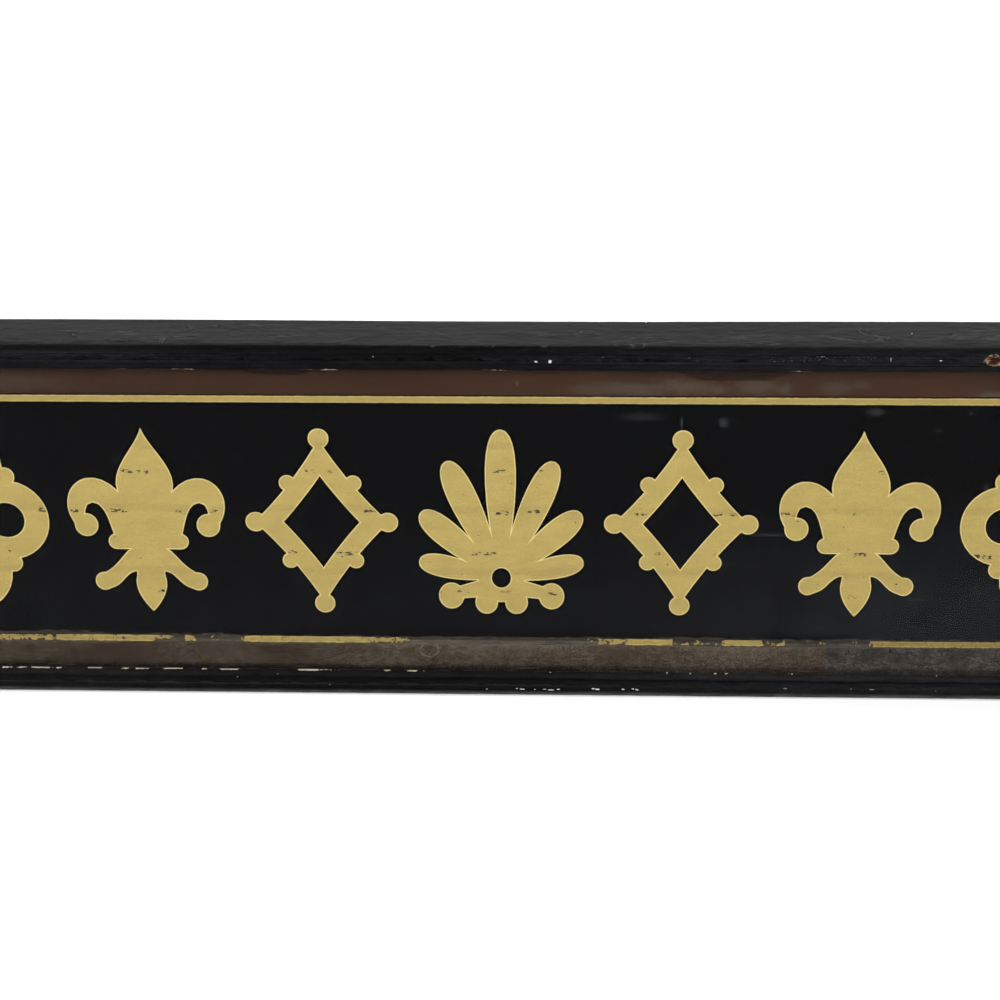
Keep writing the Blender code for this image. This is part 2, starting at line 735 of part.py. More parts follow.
def half_row_places():
    """Kinds and places from the middle ornament to the right, spread over half of the field."""
    half_field = INNER_X - LINE_END
    kinds = [HALF_ROW[0]]
    filled = motif_width(HALF_ROW[0]) / 2
    while True:
        kind = HALF_ROW[len(kinds) % len(HALF_ROW)]
        wider = filled + motif_width(kind)
        if (half_field - wider) / (len(kinds) + 1) < ORNAMENT_LEAST_ROOM:
            break
        kinds.append(kind)
        filled = wider
    room = (half_field - filled) / len(kinds)
    middles = [0.0]
    for before, kind in zip(kinds, kinds[1:]):
        half_widths = (motif_width(before) + motif_width(kind)) / 2
        middles.append(middles[-1] + half_widths + room)
    return list(zip(kinds, middles))


def add_ornament_row():
    """The row of gilt ornaments, the same to both sides of the middle one."""
    right = half_row_places()
    left = [(kind, -middle) for kind, middle in reversed(right[1:])]
    for number, (kind, middle_x) in enumerate(left + right, start=1):
        add_ornament(number, kind, middle_x)


def main():
    clear_scene()
    add_frame_boards()
    add_side_strips()
    add_sheets()
    add_setting_blocks()
    add_back_boards()
    add_battens()
    add_corner_blocks()
    add_ornament_row()


main()
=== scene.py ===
"""Looks of the shop fascia sign: reverse gilded glass in a black painted tray frame.

Each operator dresses one kind of piece. The sign stands on its lower edge, its length lies along X,
its gilded face looks towards -Y, and all sizes are in metres.
"""

import math
import random

import bmesh
import bpy
from mathutils import Matrix, Vector, noise


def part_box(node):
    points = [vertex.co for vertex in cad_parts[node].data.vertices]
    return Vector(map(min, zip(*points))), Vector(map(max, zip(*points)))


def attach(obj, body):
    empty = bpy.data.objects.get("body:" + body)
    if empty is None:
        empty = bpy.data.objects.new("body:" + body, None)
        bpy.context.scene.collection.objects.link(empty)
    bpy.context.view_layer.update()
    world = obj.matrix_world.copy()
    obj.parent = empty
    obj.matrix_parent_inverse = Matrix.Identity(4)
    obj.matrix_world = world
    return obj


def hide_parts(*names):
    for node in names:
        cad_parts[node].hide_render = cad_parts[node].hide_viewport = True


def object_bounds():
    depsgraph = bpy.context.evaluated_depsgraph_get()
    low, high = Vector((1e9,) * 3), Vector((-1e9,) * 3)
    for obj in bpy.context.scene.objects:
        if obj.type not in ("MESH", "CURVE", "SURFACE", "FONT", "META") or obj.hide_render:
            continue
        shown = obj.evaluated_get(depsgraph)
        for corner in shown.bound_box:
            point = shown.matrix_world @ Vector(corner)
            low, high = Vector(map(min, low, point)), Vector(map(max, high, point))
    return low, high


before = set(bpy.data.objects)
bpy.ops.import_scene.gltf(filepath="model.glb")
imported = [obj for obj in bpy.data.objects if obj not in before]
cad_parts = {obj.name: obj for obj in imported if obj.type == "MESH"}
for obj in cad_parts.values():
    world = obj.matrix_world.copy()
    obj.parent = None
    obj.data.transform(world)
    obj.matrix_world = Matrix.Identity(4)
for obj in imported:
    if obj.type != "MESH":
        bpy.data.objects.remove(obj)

bl_info = {
    "name": "Fascia Sign Dressing",
    "version": (1, 0, 0),
    "blender": (4, 5, 0),
    "location": "3D View > Sidebar > Sign",
    "description": "Finishes of a reverse gilded glass fascia sign in a black painted frame",
    "category": "Object",
}

CAD_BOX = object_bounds()
BODY = "root"

SIGN_LOW, SIGN_HIGH = CAD_BOX
FRONT_Y = SIGN_LOW.y
REAR_Y = SIGN_HIGH.y
TOP_Z = SIGN_HIGH.z
MOULD_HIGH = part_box("bottom_moulding")[1]
TOP_LINE_LOW, TOP_LINE_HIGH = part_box("top_gilt_line")
BOTTOM_LINE_LOW, BOTTOM_LINE_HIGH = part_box("bottom_gilt_line")
LEFT_LINE_LOW, LEFT_LINE_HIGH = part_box("left_gilt_line")
BACK_BOARD_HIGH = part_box("back_board_1")[1]
GROUND_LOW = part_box("black_ground")[0]

INNER_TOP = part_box("top_board")[0].z
INNER_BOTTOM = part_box("bottom_board")[1].z
INNER_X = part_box("right_end_board")[0].x
SIGHT_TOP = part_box("top_moulding")[0].z
SIGHT_BOTTOM = MOULD_HIGH.z
MIDDLE_Z = (INNER_TOP + INNER_BOTTOM) / 2
SIDES = ("top", "bottom", "left", "right")
ORNAMENTS = sorted(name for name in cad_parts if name.startswith("gilt_"))
BATTENS = sorted(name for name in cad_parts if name.startswith("batten_"))
BACK_BOARDS = sorted(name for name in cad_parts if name.startswith("back_board_"))
CORNER_BLOCKS = sorted(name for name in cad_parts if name.endswith("corner_block"))
SETTING_BLOCKS = ("left_setting_block", "right_setting_block")

# Edges longer than this are divided, so that paint and wear can shape them
LONG_EDGE = 0.05
# How closely points and faces are matched to a level
CLOSE = 1e-4

ALONG = Vector((1, 0, 0))
OUT = Vector((0, -1, 0))
UP = Vector((0, 0, 1))

# Loss of leaf along the lower gilt line: place along the sign, and the share that is gone
LEAF_LOSS = (
    (-1.5, 0.25), (-1.1, 0.5), (-0.9, 0.2), (-0.62, 0.3), (-0.59, 0.42), (-0.546, 0.36),
    (-0.543, 0.7), (-0.539, 0.36), (-0.524, 0.46), (-0.516, 0.14), (-0.462, 0.12), (-0.457, 0.26),
    (-0.45, 0.12), (-0.413, 0.16), (-0.39, 0.42), (-0.383, 0.95), (-0.375, 0.95), (-0.373, 0.3),
    (-0.363, 0.35), (-0.352, 0.85), (-0.342, 0.8), (-0.332, 0.62), (-0.328, 0.97), (-0.309, 0.97),
    (-0.303, 0.35), (-0.296, 0.12), (-0.19, 0.12), (-0.156, 0.18), (-0.15, 0.44), (-0.118, 0.46),
    (-0.1055, 0.95), (-0.1, 1), (0.094, 1), (0.1, 0.85), (0.112, 0.5), (0.142, 0.42),
    (0.148, 0.12), (0.198, 0.12), (0.201, 0.62), (0.222, 0.6), (0.225, 0.35), (0.231, 0.62),
    (0.256, 0.6), (0.262, 0.18), (0.3, 0.2), (0.304, 0.75), (0.309, 0.75), (0.312, 0.45),
    (0.328, 0.5), (0.333, 0.88), (0.405, 0.9), (0.412, 0.75), (0.426, 0.7), (0.434, 0.06),
    (0.522, 0.08), (0.5255, 0.5), (0.529, 0.08), (0.575, 0.12), (0.585, 0.5), (0.62, 0.2),
    (0.95, 0.55), (1.2, 0.2), (1.5, 0.4),
)

# Stretches where the upper (1) or the lower (-1) half of that line is lost: start, end, half
HALF_LOSS = (
    (-0.41, -0.386, -1), (0.199, 0.226, 1), (0.231, 0.257, 1), (0.311, 0.328, 1), (0.408, 0.426, -1),
)

# Stretches of bare putty along the sight edges: start, end and how bare they are
LOWER_CHIPS = (
    (-0.5934, -0.5638, 0.62), (-0.5579, -0.5319, 0.85), (-0.5284, -0.5225, 0.75),
    (-0.4917, -0.4716, 0.9), (-0.4515, -0.4397, 0.8), (-0.4338, -0.4184, 0.85),
    (-0.4019, -0.3782, 0.9), (-0.3558, -0.3499, 1), (-0.3345, -0.3097, 0.8),
    (-0.2603, -0.2521, 0.47), (-0.2403, -0.2181, 1.1),
    (-0.2181, -0.1899, 0.47), (-0.1419, -0.1301, 0.47), (-0.1114, -0.0996, 1.05),
    (-0.095, -0.0903, 0.52), (0.0528, 0.0633, 0.47), (0.1928, 0.194, 0.9), (0.2198, 0.221, 0.9),
    (0.248, 0.25, 0.85), (0.261, 0.265, 0.48), (0.333, 0.346, 0.48), (0.506, 0.5072, 0.55),
    (-1.42, -1.33, 0.9), (-1.12, -1.09, 0.8), (-0.9, -0.83, 0.95), (-0.7, -0.66, 0.85),
    (0.69, 0.72, 0.85), (0.93, 0.99, 0.9), (1.26, 1.29, 0.9),
)
UPPER_CHIPS = (
    (-0.429, -0.415, 0.62), (-0.395, -0.3893, 0.6), (-0.3645, -0.3533, 0.85),
    (-0.351, -0.3477, 1), (-0.3454, -0.3387, 1), (-0.2125, -0.2069, 0.6),
    (-0.2002, -0.1791, 0.95), (-0.1713, -0.1668, 0.9), (-0.0376, 0.051, 0.5),
    (0.3122, 0.345, 0.53), (-1.25, -1.19, 0.9), (-0.83, -0.8, 0.75), (0.88, 0.905, 0.9),
    (1.18, 1.25, 0.8),
)

# Blistered places on the top board: middle along X, place back from the front, half length and depth
BLISTERS = (
    (-0.49, 0.038, 0.036, 0.024), (-0.425, 0.038, 0.02, 0.02), (-0.371, 0.042, 0.036, 0.036),
    (-0.292, 0.074, 0.042, 0.012), (-0.152, 0.056, 0.03, 0.024), (0.013, 0.053, 0.014, 0.012),
    (0.095, 0.05, 0.018, 0.014), (0.162, 0.02, 0.04, 0.02), (0.297, 0.03, 0.048, 0.02),
    (0.4, 0.042, 0.052, 0.03), (0.528, 0.05, 0.04, 0.034), (-1.4, 0.04, 0.06, 0.03),
    (-1.21, 0.06, 0.04, 0.024), (-1.02, 0.03, 0.07, 0.024), (-0.79, 0.05, 0.05, 0.036),
    (-0.64, 0.03, 0.036, 0.024), (0.7, 0.04, 0.06, 0.03), (0.9, 0.07, 0.04, 0.016),
    (1.08, 0.036, 0.06, 0.03), (1.33, 0.05, 0.05, 0.036),
)

# Dry splashes on the front of the rails: place along X, height, half width and half height
SPLASHES = (
    (0.0413, 0.415, 0.0021, 0.0012), (0.0568, 0.415, 0.0023, 0.0024), (0.485, 0.4178, 0.0022, 0.0009),
    (-0.0177, 0.0092, 0.0011, 0.0008), (0.0175, 0.0101, 0.0016, 0.0008), (0.0235, 0.0094, 0.0042, 0.0007),
    (0.0387, 0.0092, 0.0012, 0.0006), (0.05, 0.0096, 0.003, 0.0006), (0.0575, 0.0088, 0.0052, 0.0008),
    (0.066, 0.0096, 0.0026, 0.0009), (0.1075, 0.0108, 0.003, 0.001), (0.112, 0.01, 0.0032, 0.0013),
    (0.1419, 0.0104, 0.0024, 0.001), (0.1535, 0.0111, 0.0022, 0.0009), (0.158, 0.01, 0.0026, 0.0013),
    (-0.91, 0.009, 0.003, 0.0012), (0.82, 0.01, 0.0022, 0.0014), (1.19, 0.416, 0.0024, 0.0018),
)
GREY_SPECKS = (
    (-0.1555, 0.424, 0.0034, 0.0012), (-0.139, 0.4201, 0.001, 0.0014), (0.4305, 0.4188, 0.0013, 0.0032),
    (-0.312, 0.0215, 0.0008, 0.0008), (-0.264, 0.026, 0.0008, 0.0008), (-0.203, 0.013, 0.0007, 0.0007),
    (0.4075, 0.0135, 0.0009, 0.0009), (0.5057, 0.012, 0.0008, 0.0008), (0.3308, 0.0135, 0.0032, 0.001),
    (0.4316, 0.013, 0.0034, 0.0009), (0.115, 0.4203, 0.0005, 0.0008), (0.356, 0.422, 0.0032, 0.0006),
)
TOP_SPECKS = (
    (0.4595, 0.0053, 0.0009, 0.0012), (0.1642, 0.043, 0.0012, 0.0014), (-0.73, 0.01, 0.0014, 0.0018),
    (0.94, -0.01, 0.0014, 0.0014),
)

# Smudges on the black ground, and haze on the upper border: x, z, half width, half height, strength
SMUDGES = (
    (0.251, 0.339, 0.0048, 0.005, 0.3), (0.419, 0.352, 0.008, 0.004, 0.24),
    (0.525, 0.351, 0.002, 0.0018, 0.42), (0.204, 0.339, 0.001, 0.006, 0.42),
    (0.157, 0.345, 0.02, 0.0045, 0.12), (0.32, 0.232, 0.003, 0.0022, 0.24),
    (0.306, 0.202, 0.022, 0.0016, 0.14), (0.262, 0.165, 0.016, 0.0012, 0.12),
    (0.548, 0.262, 0.003, 0.004, 0.2), (0.49, 0.33, 0.004, 0.0018, 0.22),
    (0.48, 0.122, 0.01, 0.0014, 0.14),
)
HAZE_PLACES = (
    (0.105, 0.377, 0.024, 0.007, 0.34), (0.148, 0.378, 0.04, 0.007, 0.5),
    (0.205, 0.381, 0.03, 0.008, 0.48), (0.242, 0.378, 0.012, 0.005, 0.5),
    (0.287, 0.381, 0.018, 0.008, 0.48), (0.317, 0.379, 0.006, 0.006, 0.55),
    (0.373, 0.381, 0.014, 0.007, 0.36), (0.402, 0.384, 0.009, 0.004, 0.34),
    (0.55, 0.373, 0.022, 0.004, 0.55), (-0.545, 0.383, 0.05, 0.009, 0.22),
    (0.0196, 0.385, 0.0011, 0.004, 0.65), (-0.425, 0.384, 0.001, 0.0014, 0.95),
    (-0.95, 0.38, 0.12, 0.009, 0.35), (1.15, 0.382, 0.1, 0.01, 0.35),
)

# Where drips of paint hang on the run moulding: start, end and how many
DRIPS = (
    (0.205, 0.23, 4), (0.296, 0.33, 9), (0.335, 0.372, 14), (0.378, 0.42, 9),
    (0.7, 0.82, 12), (-1.2, -1.05, 12),
)

# The one chip at the front that goes down to the wood
CHIP_X = 0.543
CHIP_Z = 0.418

# Stretches of the top board's rear arris worn to the wood
REAR_WEAR = (
    (-1.48, -1.36), (-1.12, -0.98), (-0.74, -0.7), (-0.545, -0.495), (-0.445, -0.365), (0.4, 0.452),
    (0.468, 0.57), (0.8, 0.83), (0.96, 1.1), (1.35, 1.4),
)

# How far the top board has worn hollow along its rear edge, along X
REAR_SAG = (
    (-1.55, 0.001), (-0.9, 0.0014), (-0.55, 0), (-0.4, 0), (-0.28, 0.0003),
    (-0.08, 0.0012), (0.15, 0.0012), (0.35, 0.0004), (0.5, 0), (1, 0.0016), (1.55, 0.0004),
)

# How far the clean black nose of the top board reaches back, along X
NOSE_REACH = (
    (-1.55, 0.008), (-1, 0.012), (-0.56, 0.017), (-0.4, 0.014), (-0.27, 0.0125),
    (-0.17, 0.01), (-0.05, 0.0012), (0.05, 0.0015), (0.15, 0.004), (0.27, 0.009), (0.35, 0.015),
    (0.42, 0.022), (0.5, 0.022), (0.56, 0.017), (1, 0.008), (1.55, 0.011),
)

# How rumpled the old paint lies on the bead of the run moulding, and below it, along X
BEAD_FOLDS = (
    (-1.55, 0.6), (-0.5, 0.95), (-0.4, 0.95), (-0.26, 0.2), (-0.06, 0), (0.06, 0.5), (0.14, 0.5),
    (0.26, 0.3), (0.4, 1), (0.5, 1), (1.55, 0.6),
)
FLAT_FOLDS = (
    (-1.55, 0.6), (-0.5, 0.7), (-0.4, 0.6), (-0.26, 0.15), (-0.06, 0), (0.1, 0.65), (0.26, 0.45),
    (0.44, 0.6), (1.55, 0.7),
)


# Selecting and shaping, as by hand


def put_down():
    """Object mode, with nothing selected."""
    if bpy.context.mode != "OBJECT":
        bpy.ops.object.mode_set(mode="OBJECT")
    bpy.ops.object.select_all(action="DESELECT")


def pick_up(piece):
    """The piece alone is selected and active."""
    put_down()
    piece.select_set(True)
    bpy.context.view_layer.objects.active = piece


def name_piece(piece, name):
    """Gives a piece and its mesh one name."""
    piece.name = name
    piece.data.name = name
    return piece


def settle(piece):
    """Place, turn and scale go into the mesh."""
    pick_up(piece)
    bpy.ops.object.transform_apply(location=True, rotation=True, scale=True)


def add_shape(name, operation, **settings):
    """A primitive, settled at its size and place."""
    put_down()
    operation(**settings)
    piece = name_piece(bpy.context.active_object, name)
    settle(piece)
    return piece


def edit_whole(piece, *steps):
    """Runs each step in edit mode with the whole piece selected."""
    pick_up(piece)
    bpy.ops.object.mode_set(mode="EDIT")
    for step in steps:
        bpy.ops.mesh.select_all(action="SELECT")
        step()
    bpy.ops.object.mode_set(mode="OBJECT")


def copy_of_node(node, name):
    """A new piece that starts as a node's own shape, its doubles merged and its flats made whole."""
    put_down()
    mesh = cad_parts[node].data.copy()
    mesh.materials.clear()
    piece = bpy.data.objects.new(name, mesh)
    mesh.name = name
    bpy.context.scene.collection.objects.link(piece)
    edit_whole(
        piece,
        lambda: bpy.ops.mesh.remove_doubles(threshold=1e-6),
        lambda: bpy.ops.mesh.dissolve_limited(angle_limit=math.radians(1)),
    )
    return piece


def edit_selected(piece, kind, test, *steps):
    """Selects the edges or faces that pass a test of place and direction, then runs the steps."""
    pick_up(piece)
    bpy.ops.object.mode_set(mode="EDIT")
    bpy.ops.mesh.select_mode(type=kind)
    bpy.ops.mesh.select_all(action="DESELECT")
    shape = bmesh.from_edit_mesh(piece.data)
    chosen = shape.edges if kind == "EDGE" else shape.faces
    for item in chosen:
        if test(item):
            item.select_set(True)
    bmesh.update_edit_mesh(piece.data)
    for step in steps:
        step()
    bpy.ops.mesh.select_mode(type="VERT")
    bpy.ops.object.mode_set(mode="OBJECT")


def runs_along(edge, direction):
    """Whether an edge runs in a direction, either way."""
    ends = edge.verts[1].co - edge.verts[0].co
    return ends.length > 1e-7 and abs(ends.normalized().dot(direction)) > 0.999


def cut_across(piece, direction, place):
    """Cuts the whole piece with a plane."""
    edit_whole(piece, lambda: bpy.ops.mesh.bisect(plane_co=direction * place, plane_no=direction))


def divide_edges(piece, test, cuts):
    """Divides the edges that pass a test."""
    edit_selected(piece, "EDGE", test, lambda: bpy.ops.mesh.subdivide(number_cuts=cuts, smoothness=0))


def long_edge(direction, longest=LONG_EDGE):
    """A test for the edges that run one way and are longer than a limit."""
    return lambda edge: runs_along(edge, direction) and edge.calc_length() > longest


def divide_run(piece, direction, *cuts):
    """Divides the long edges that run one way, once for each number of cuts."""
    for count in cuts:
        divide_edges(piece, long_edge(direction), count)


def apply_all(piece):
    """The piece's modifiers go into its mesh."""
    pick_up(piece)
    for modifier in list(piece.modifiers):
        bpy.ops.object.modifier_apply(modifier=modifier.name)


def roll_over(piece, size, segments=2, angle=math.radians(40)):
    """Rounds the sharp edges of a piece."""
    bevel = piece.modifiers.new("Arrises", "BEVEL")
    bevel.width = size
    bevel.segments = segments
    bevel.limit_method = "ANGLE"
    bevel.angle_limit = angle
    apply_all(piece)


def shade_round(piece, angle=math.radians(35)):
    """Smooth shading, apart from edges sharper than an angle."""
    pick_up(piece)
    bpy.ops.object.shade_smooth_by_angle(angle=angle)


def hand_over(piece, slot, *nodes):
    """The piece rides on the sign and stands for its nodes, which are hidden; its slot is not used."""
    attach(piece, BODY)
    if nodes:
        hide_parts(*nodes)


def coat(piece, *materials):
    """Gives a modelled piece its finishes."""
    piece.data.materials.clear()
    for material in materials:
        piece.data.materials.append(material)


def clamp(value, low=0, high=1):
    """The value, kept between two levels."""
    return max(low, min(high, value))


def ease(low, high, value):
    """A smooth step from 0 at low to 1 at high."""
    share = clamp((value - low) / (high - low))
    return share * share * (3 - 2 * share)


def along_knots(knots, place):
    """A value read between listed places."""
    for (start, before), (end, after) in zip(knots, knots[1:]):
        if place <= end:
            share = clamp((place - start) / (end - start))
            return before + (after - before) * share
    return knots[-1][1]


def grain(place, sizes, octaves=3, seed=0):
    """Noise about 0 whose features have the given sizes along X, Y and Z."""
    point = Vector((place[0] / sizes[0] + seed, place[1] / sizes[1], place[2] / sizes[2]))
    return noise.fractal(point, 0.8, 2.1, octaves)


# Building materials


class Bench:
    """What is being built: a material or the world, or a group, with its tree and output node."""

    holder = None
    tree = None
    output = None


class Level:
    """A node's result, with which sums are written as for numbers."""

    def __init__(self, socket):
        self.socket = socket

    def __add__(self, other):
        return maths("ADD", self, other)

    def __radd__(self, other):
        return maths("ADD", other, self)

    def __sub__(self, other):
        return maths("SUBTRACT", self, other)

    def __rsub__(self, other):
        return maths("SUBTRACT", other, self)

    def __mul__(self, other):
        return maths("MULTIPLY", self, other)

    def __truediv__(self, other):
        return maths("DIVIDE", self, other)

    def __rtruediv__(self, other):
        return maths("DIVIDE", other, self)

    def __abs__(self):
        return maths("ABSOLUTE", self)


def feed(socket, value):
    """An input takes another node's result, a colour or a plain value."""
    if isinstance(value, Level):
        value = value.socket
    if isinstance(value, bpy.types.NodeSocket):
        Bench.tree.links.new(value, socket)
    elif socket.type == "RGBA":
        socket.default_value = (*value[:3], 1)
    else:
        socket.default_value = value


def place_node(kind, values=None, **settings):
    """A shader node on the bench with its settings and inputs."""
    made = Bench.tree.nodes.new("ShaderNode" + kind)
    for name, value in settings.items():
        setattr(made, name, value)
    for name, value in (values or {}).items():
        feed(made.inputs[name], value)
    return made


def maths(operation, *values, clamped=False):
    """A Math node's result."""
    made = place_node("Math", dict(enumerate(values)), operation=operation, use_clamp=clamped)
    return Level(made.outputs[0])


def most(first, second):
    """The greater of two levels."""
    return maths("MAXIMUM", first, second)


def vectors(operation, first, second):
    """A Vector Math node's result."""
    return place_node("VectorMath", {0: first, 1: second}, operation=operation).outputs[0]


def enlarged(place, scale):
    """Coordinates multiplied by one level."""
    return place_node("VectorMath", {0: place, "Scale": scale}, operation="SCALE").outputs[0]


def far(place):
    """How far a place lies from the origin of its coordinates."""
    return Level(place_node("VectorMath", {0: place}, operation="LENGTH").outputs["Value"])


def axes(place):
    """The three parts of a place."""
    return [Level(part) for part in place_node("SeparateXYZ", {"Vector": place}).outputs]


def spread(value, low, high, new_low=0, new_high=1):
    """A smooth step of a value between two levels."""
    inputs = {"Value": value, "From Min": low, "From Max": high, "To Min": new_low, "To Max": new_high}
    return Level(place_node("MapRange", inputs, interpolation_type="SMOOTHSTEP").outputs["Result"])


def blend(share, first, second, kind="MIX"):
    """Two colours mixed by a share."""
    made = place_node("Mix", {0: share, 6: first, 7: second}, data_type="RGBA", blend_type=kind)
    return made.outputs[2]


def toned(colour, tone):
    """A colour made lighter or darker by a changing level."""
    level = place_node("CombineColor", {"Red": tone, "Green": tone, "Blue": tone})
    return blend(1, colour, level.outputs[0], "MULTIPLY")


def stretched(place, scale, shift=(0, 0, 0)):
    """Coordinates scaled, so that 1 is one feature, and moved."""
    return place_node("Mapping", {"Vector": place, "Scale": scale, "Location": shift}).outputs["Vector"]


def speckle(place, detail=3, roughness=0.55, distortion=0):
    """Noise whose features are 1 across."""
    inputs = {"Vector": place, "Scale": 1, "Detail": detail, "Roughness": roughness}
    inputs["Distortion"] = distortion
    return Level(place_node("TexNoise", inputs).outputs[0])


def mottle(place, scale, *settings, shift=(0, 0, 0)):
    """Noise with so many features to the metre along each axis."""
    return speckle(stretched(place, scale, shift), *settings)


def facing_up():
    """The upward share of the surface's direction."""
    return axes(place_node("NewGeometry").outputs["Normal"])[2]


def relief(height, distance):
    """A Bump node's normal, from a height that is in shares of a distance."""
    made = place_node("Bump", {"Strength": 1, "Distance": distance, "Height": height})
    return made.outputs["Normal"]


def painted(name):
    """A value marked on the points of a piece."""
    return Level(place_node("Attribute", attribute_name=name).outputs["Fac"])


def clear_bench(holder, kind):
    """An empty tree for a material or the world, with its output node."""
    holder.use_nodes = True
    Bench.holder = holder
    Bench.tree = holder.node_tree
    Bench.tree.nodes.clear()
    Bench.output = Bench.tree.nodes.new("ShaderNodeOutput" + kind)


def start_material(name):
    """A new material on the bench, and its object's own coordinates."""
    old = bpy.data.materials.get(name)
    if old:
        bpy.data.materials.remove(old)
    clear_bench(bpy.data.materials.new(name), "Material")
    return place_node("TexCoord").outputs["Object"]


def show(shader):
    """The shader reaches the output, and the material or world is done."""
    Bench.tree.links.new(shader.outputs[0], Bench.output.inputs["Surface"])
    return Bench.holder


def finish_surface(colour, roughness, normal, metallic=0, specular=0.5):
    """Ends the material on the bench with a Principled shader. The specular level is always plain."""
    inputs = {"Base Color": colour, "Roughness": roughness, "Normal": normal}
    inputs.update({"Metallic": metallic, "Specular IOR Level": specular})
    return show(place_node("BsdfPrincipled", inputs))


def open_group(name, inputs, *outputs):
    """A node group on the bench. An input starts as a number or a vector, or as an unset vector."""
    Bench.tree = bpy.data.node_groups.new(name, "ShaderNodeTree")
    new_socket = Bench.tree.interface.new_socket
    for label, value in inputs.items():
        kind = "Float" if isinstance(value, (int, float)) else "Vector"
        socket = new_socket(label, in_out="INPUT", socket_type="NodeSocket" + kind)
        if value is not None:
            socket.default_value = value
    for label in outputs:
        new_socket(label, in_out="OUTPUT", socket_type="NodeSocketFloat")
    given = Bench.tree.nodes.new("NodeGroupInput")
    Bench.output = Bench.tree.nodes.new("NodeGroupOutput")
    return {socket.name: Level(socket) for socket in given.outputs}


def hand_out(results):
    """The group's results reach its outputs."""
    for label, value in results.items():
        feed(Bench.output.inputs[label], value)


def use_group(name, values):
    """A group placed on the bench with its own values. It is built when it is first used."""
    group = bpy.data.node_groups.get(name)
    if not group:
        bench = Bench.tree, Bench.output
        GROUPS[name](name)
        group = Bench.tree
        Bench.tree, Bench.output = bench
    made = place_node("Group", values, node_tree=group)
    return {socket.name: Level(socket) for socket in made.outputs}


def soft_patches(place, size, cover, softness):
    """A mask of soft patches."""
    values = {"Vector": place, "Size": size, "Cover": cover, "Softness": softness}
    return use_group("Soft Patches", values)["Mask"]


def curling_lines(place, size, width, twist):
    """A mask of thin curling lines."""
    values = {"Vector": place, "Size": size, "Width": width, "Twist": twist}
    return use_group("Curling Lines", values)["Line"]


def ragged_spot(place, middle, reach, ragged, softness, fineness):
    """One ragged spot: its mask, and the distance from its middle in its own reach."""
    values = {"Vector": place, "Middle": middle, "Reach": reach}
    values.update({"Ragged": ragged, "Softness": softness, "Grain": fineness})
    return use_group("Ragged Spot", values)


def patches_group(name):
    """Soft patches: a mask of stretched noise over a threshold."""
    given = open_group(
        name,
        {"Vector": None, "Size": (0.1, 0.1, 0.1), "Shift": None, "Cover": 0.5, "Softness": 0.1},
        "Mask",
    )
    moved = vectors("ADD", vectors("DIVIDE", given["Vector"], given["Size"]), given["Shift"])
    level = 1 - given["Cover"]
    low = level - given["Softness"]
    high = level + given["Softness"]
    hand_out({"Mask": spread(speckle(moved, 4, 0.6, 0.4), low, high)})


def spot_group(name):
    """One ragged spot at a chosen place and size."""
    inputs = {"Vector": None, "Middle": None, "Reach": (0.01, 0.01, 0.01)}
    inputs.update({"Ragged": 0.4, "Softness": 0.15, "Grain": 0.01})
    given = open_group(name, inputs, "Mask", "Distance")
    away = vectors("SUBTRACT", given["Vector"], given["Middle"])
    length = far(vectors("DIVIDE", away, given["Reach"]))
    fine = enlarged(given["Vector"], 1 / given["Grain"])
    rough = speckle(fine, 3, 0.6) - 0.5
    distance = length + rough * (given["Ragged"] * 3)
    low = 1 - given["Softness"]
    high = 1 + given["Softness"]
    hand_out({"Mask": 1 - spread(distance, low, high), "Distance": distance})


def swollen(place, steps):
    """How many steps the paint has lifted at a place."""
    return speckle(place, 3, 0.52, 0.7) * steps


def blister_group(name):
    """Old paint: blisters with stepped, cracked edges, folds and fine wrinkles, with masks for painted
    highlights on the lips of the blisters and beside their risers. Heights are in mm.
    """
    given = open_group(
        name, {"Vector": None, "Size": (0.1, 0.042, 0.042), "Steps": 4, "Lifted": 0, "Wrinkled": 0},
        "Height", "Crack", "Lip Highlight", "Fold", "Curl Highlight",
    )
    place = given["Vector"]
    lifted = given["Lifted"]
    scaled = vectors("DIVIDE", place, given["Size"])
    levels = swollen(scaled, given["Steps"])
    floor = maths("FLOOR", levels)
    part = maths("FRACT", levels)
    steep = None
    for step in ((0.001, 0, 0), (0, 0.0025, 0)):
        moved = vectors("ADD", place, step)
        moved = vectors("DIVIDE", moved, given["Size"])
        change = swollen(moved, given["Steps"]) - levels
        squared = change * change
        steep = squared if steep is None else steep + squared
    steep = maths("SQRT", steep) + 0.004
    beyond = part / steep
    rise = spread(beyond, 0, 1.6)
    broken = spread(mottle(place, (34, 60, 60), 2), 0.38, 0.48)
    crack = (1 - spread(beyond, 0.8, 1.6)) * (broken * lifted)
    # Mask for a painted highlight on the lips of the blisters.
    lip_highlight = spread(beyond, 1.5, 2) * (1 - spread(beyond, 2.5, 3.9))
    lip_highlight *= broken * lifted
    steps = (floor + rise) * 0.42
    height = steps * lifted
    fold_place = stretched(place, (48, 130, 130))
    fold = speckle(fold_place, 2.5, 0.5, 1.5)
    height += fold * maths("MULTIPLY_ADD", given["Wrinkled"], 5, 0.32)
    ripple = mottle(place, (95, 300, 300), 4, 0.65, 0.8)
    height += ripple * maths("MULTIPLY_ADD", given["Wrinkled"], 0.55, 0.26)
    height -= crack * 0.6
    # A tone for painted light beside each riser: lighter near it and slightly darker further in.
    curl_highlight = spread(beyond, 2, 9, 0.28, -0.1) * lifted
    hand_out({"Height": height, "Crack": crack, "Lip Highlight": lip_highlight, "Fold": fold, "Curl Highlight": curl_highlight + 1})


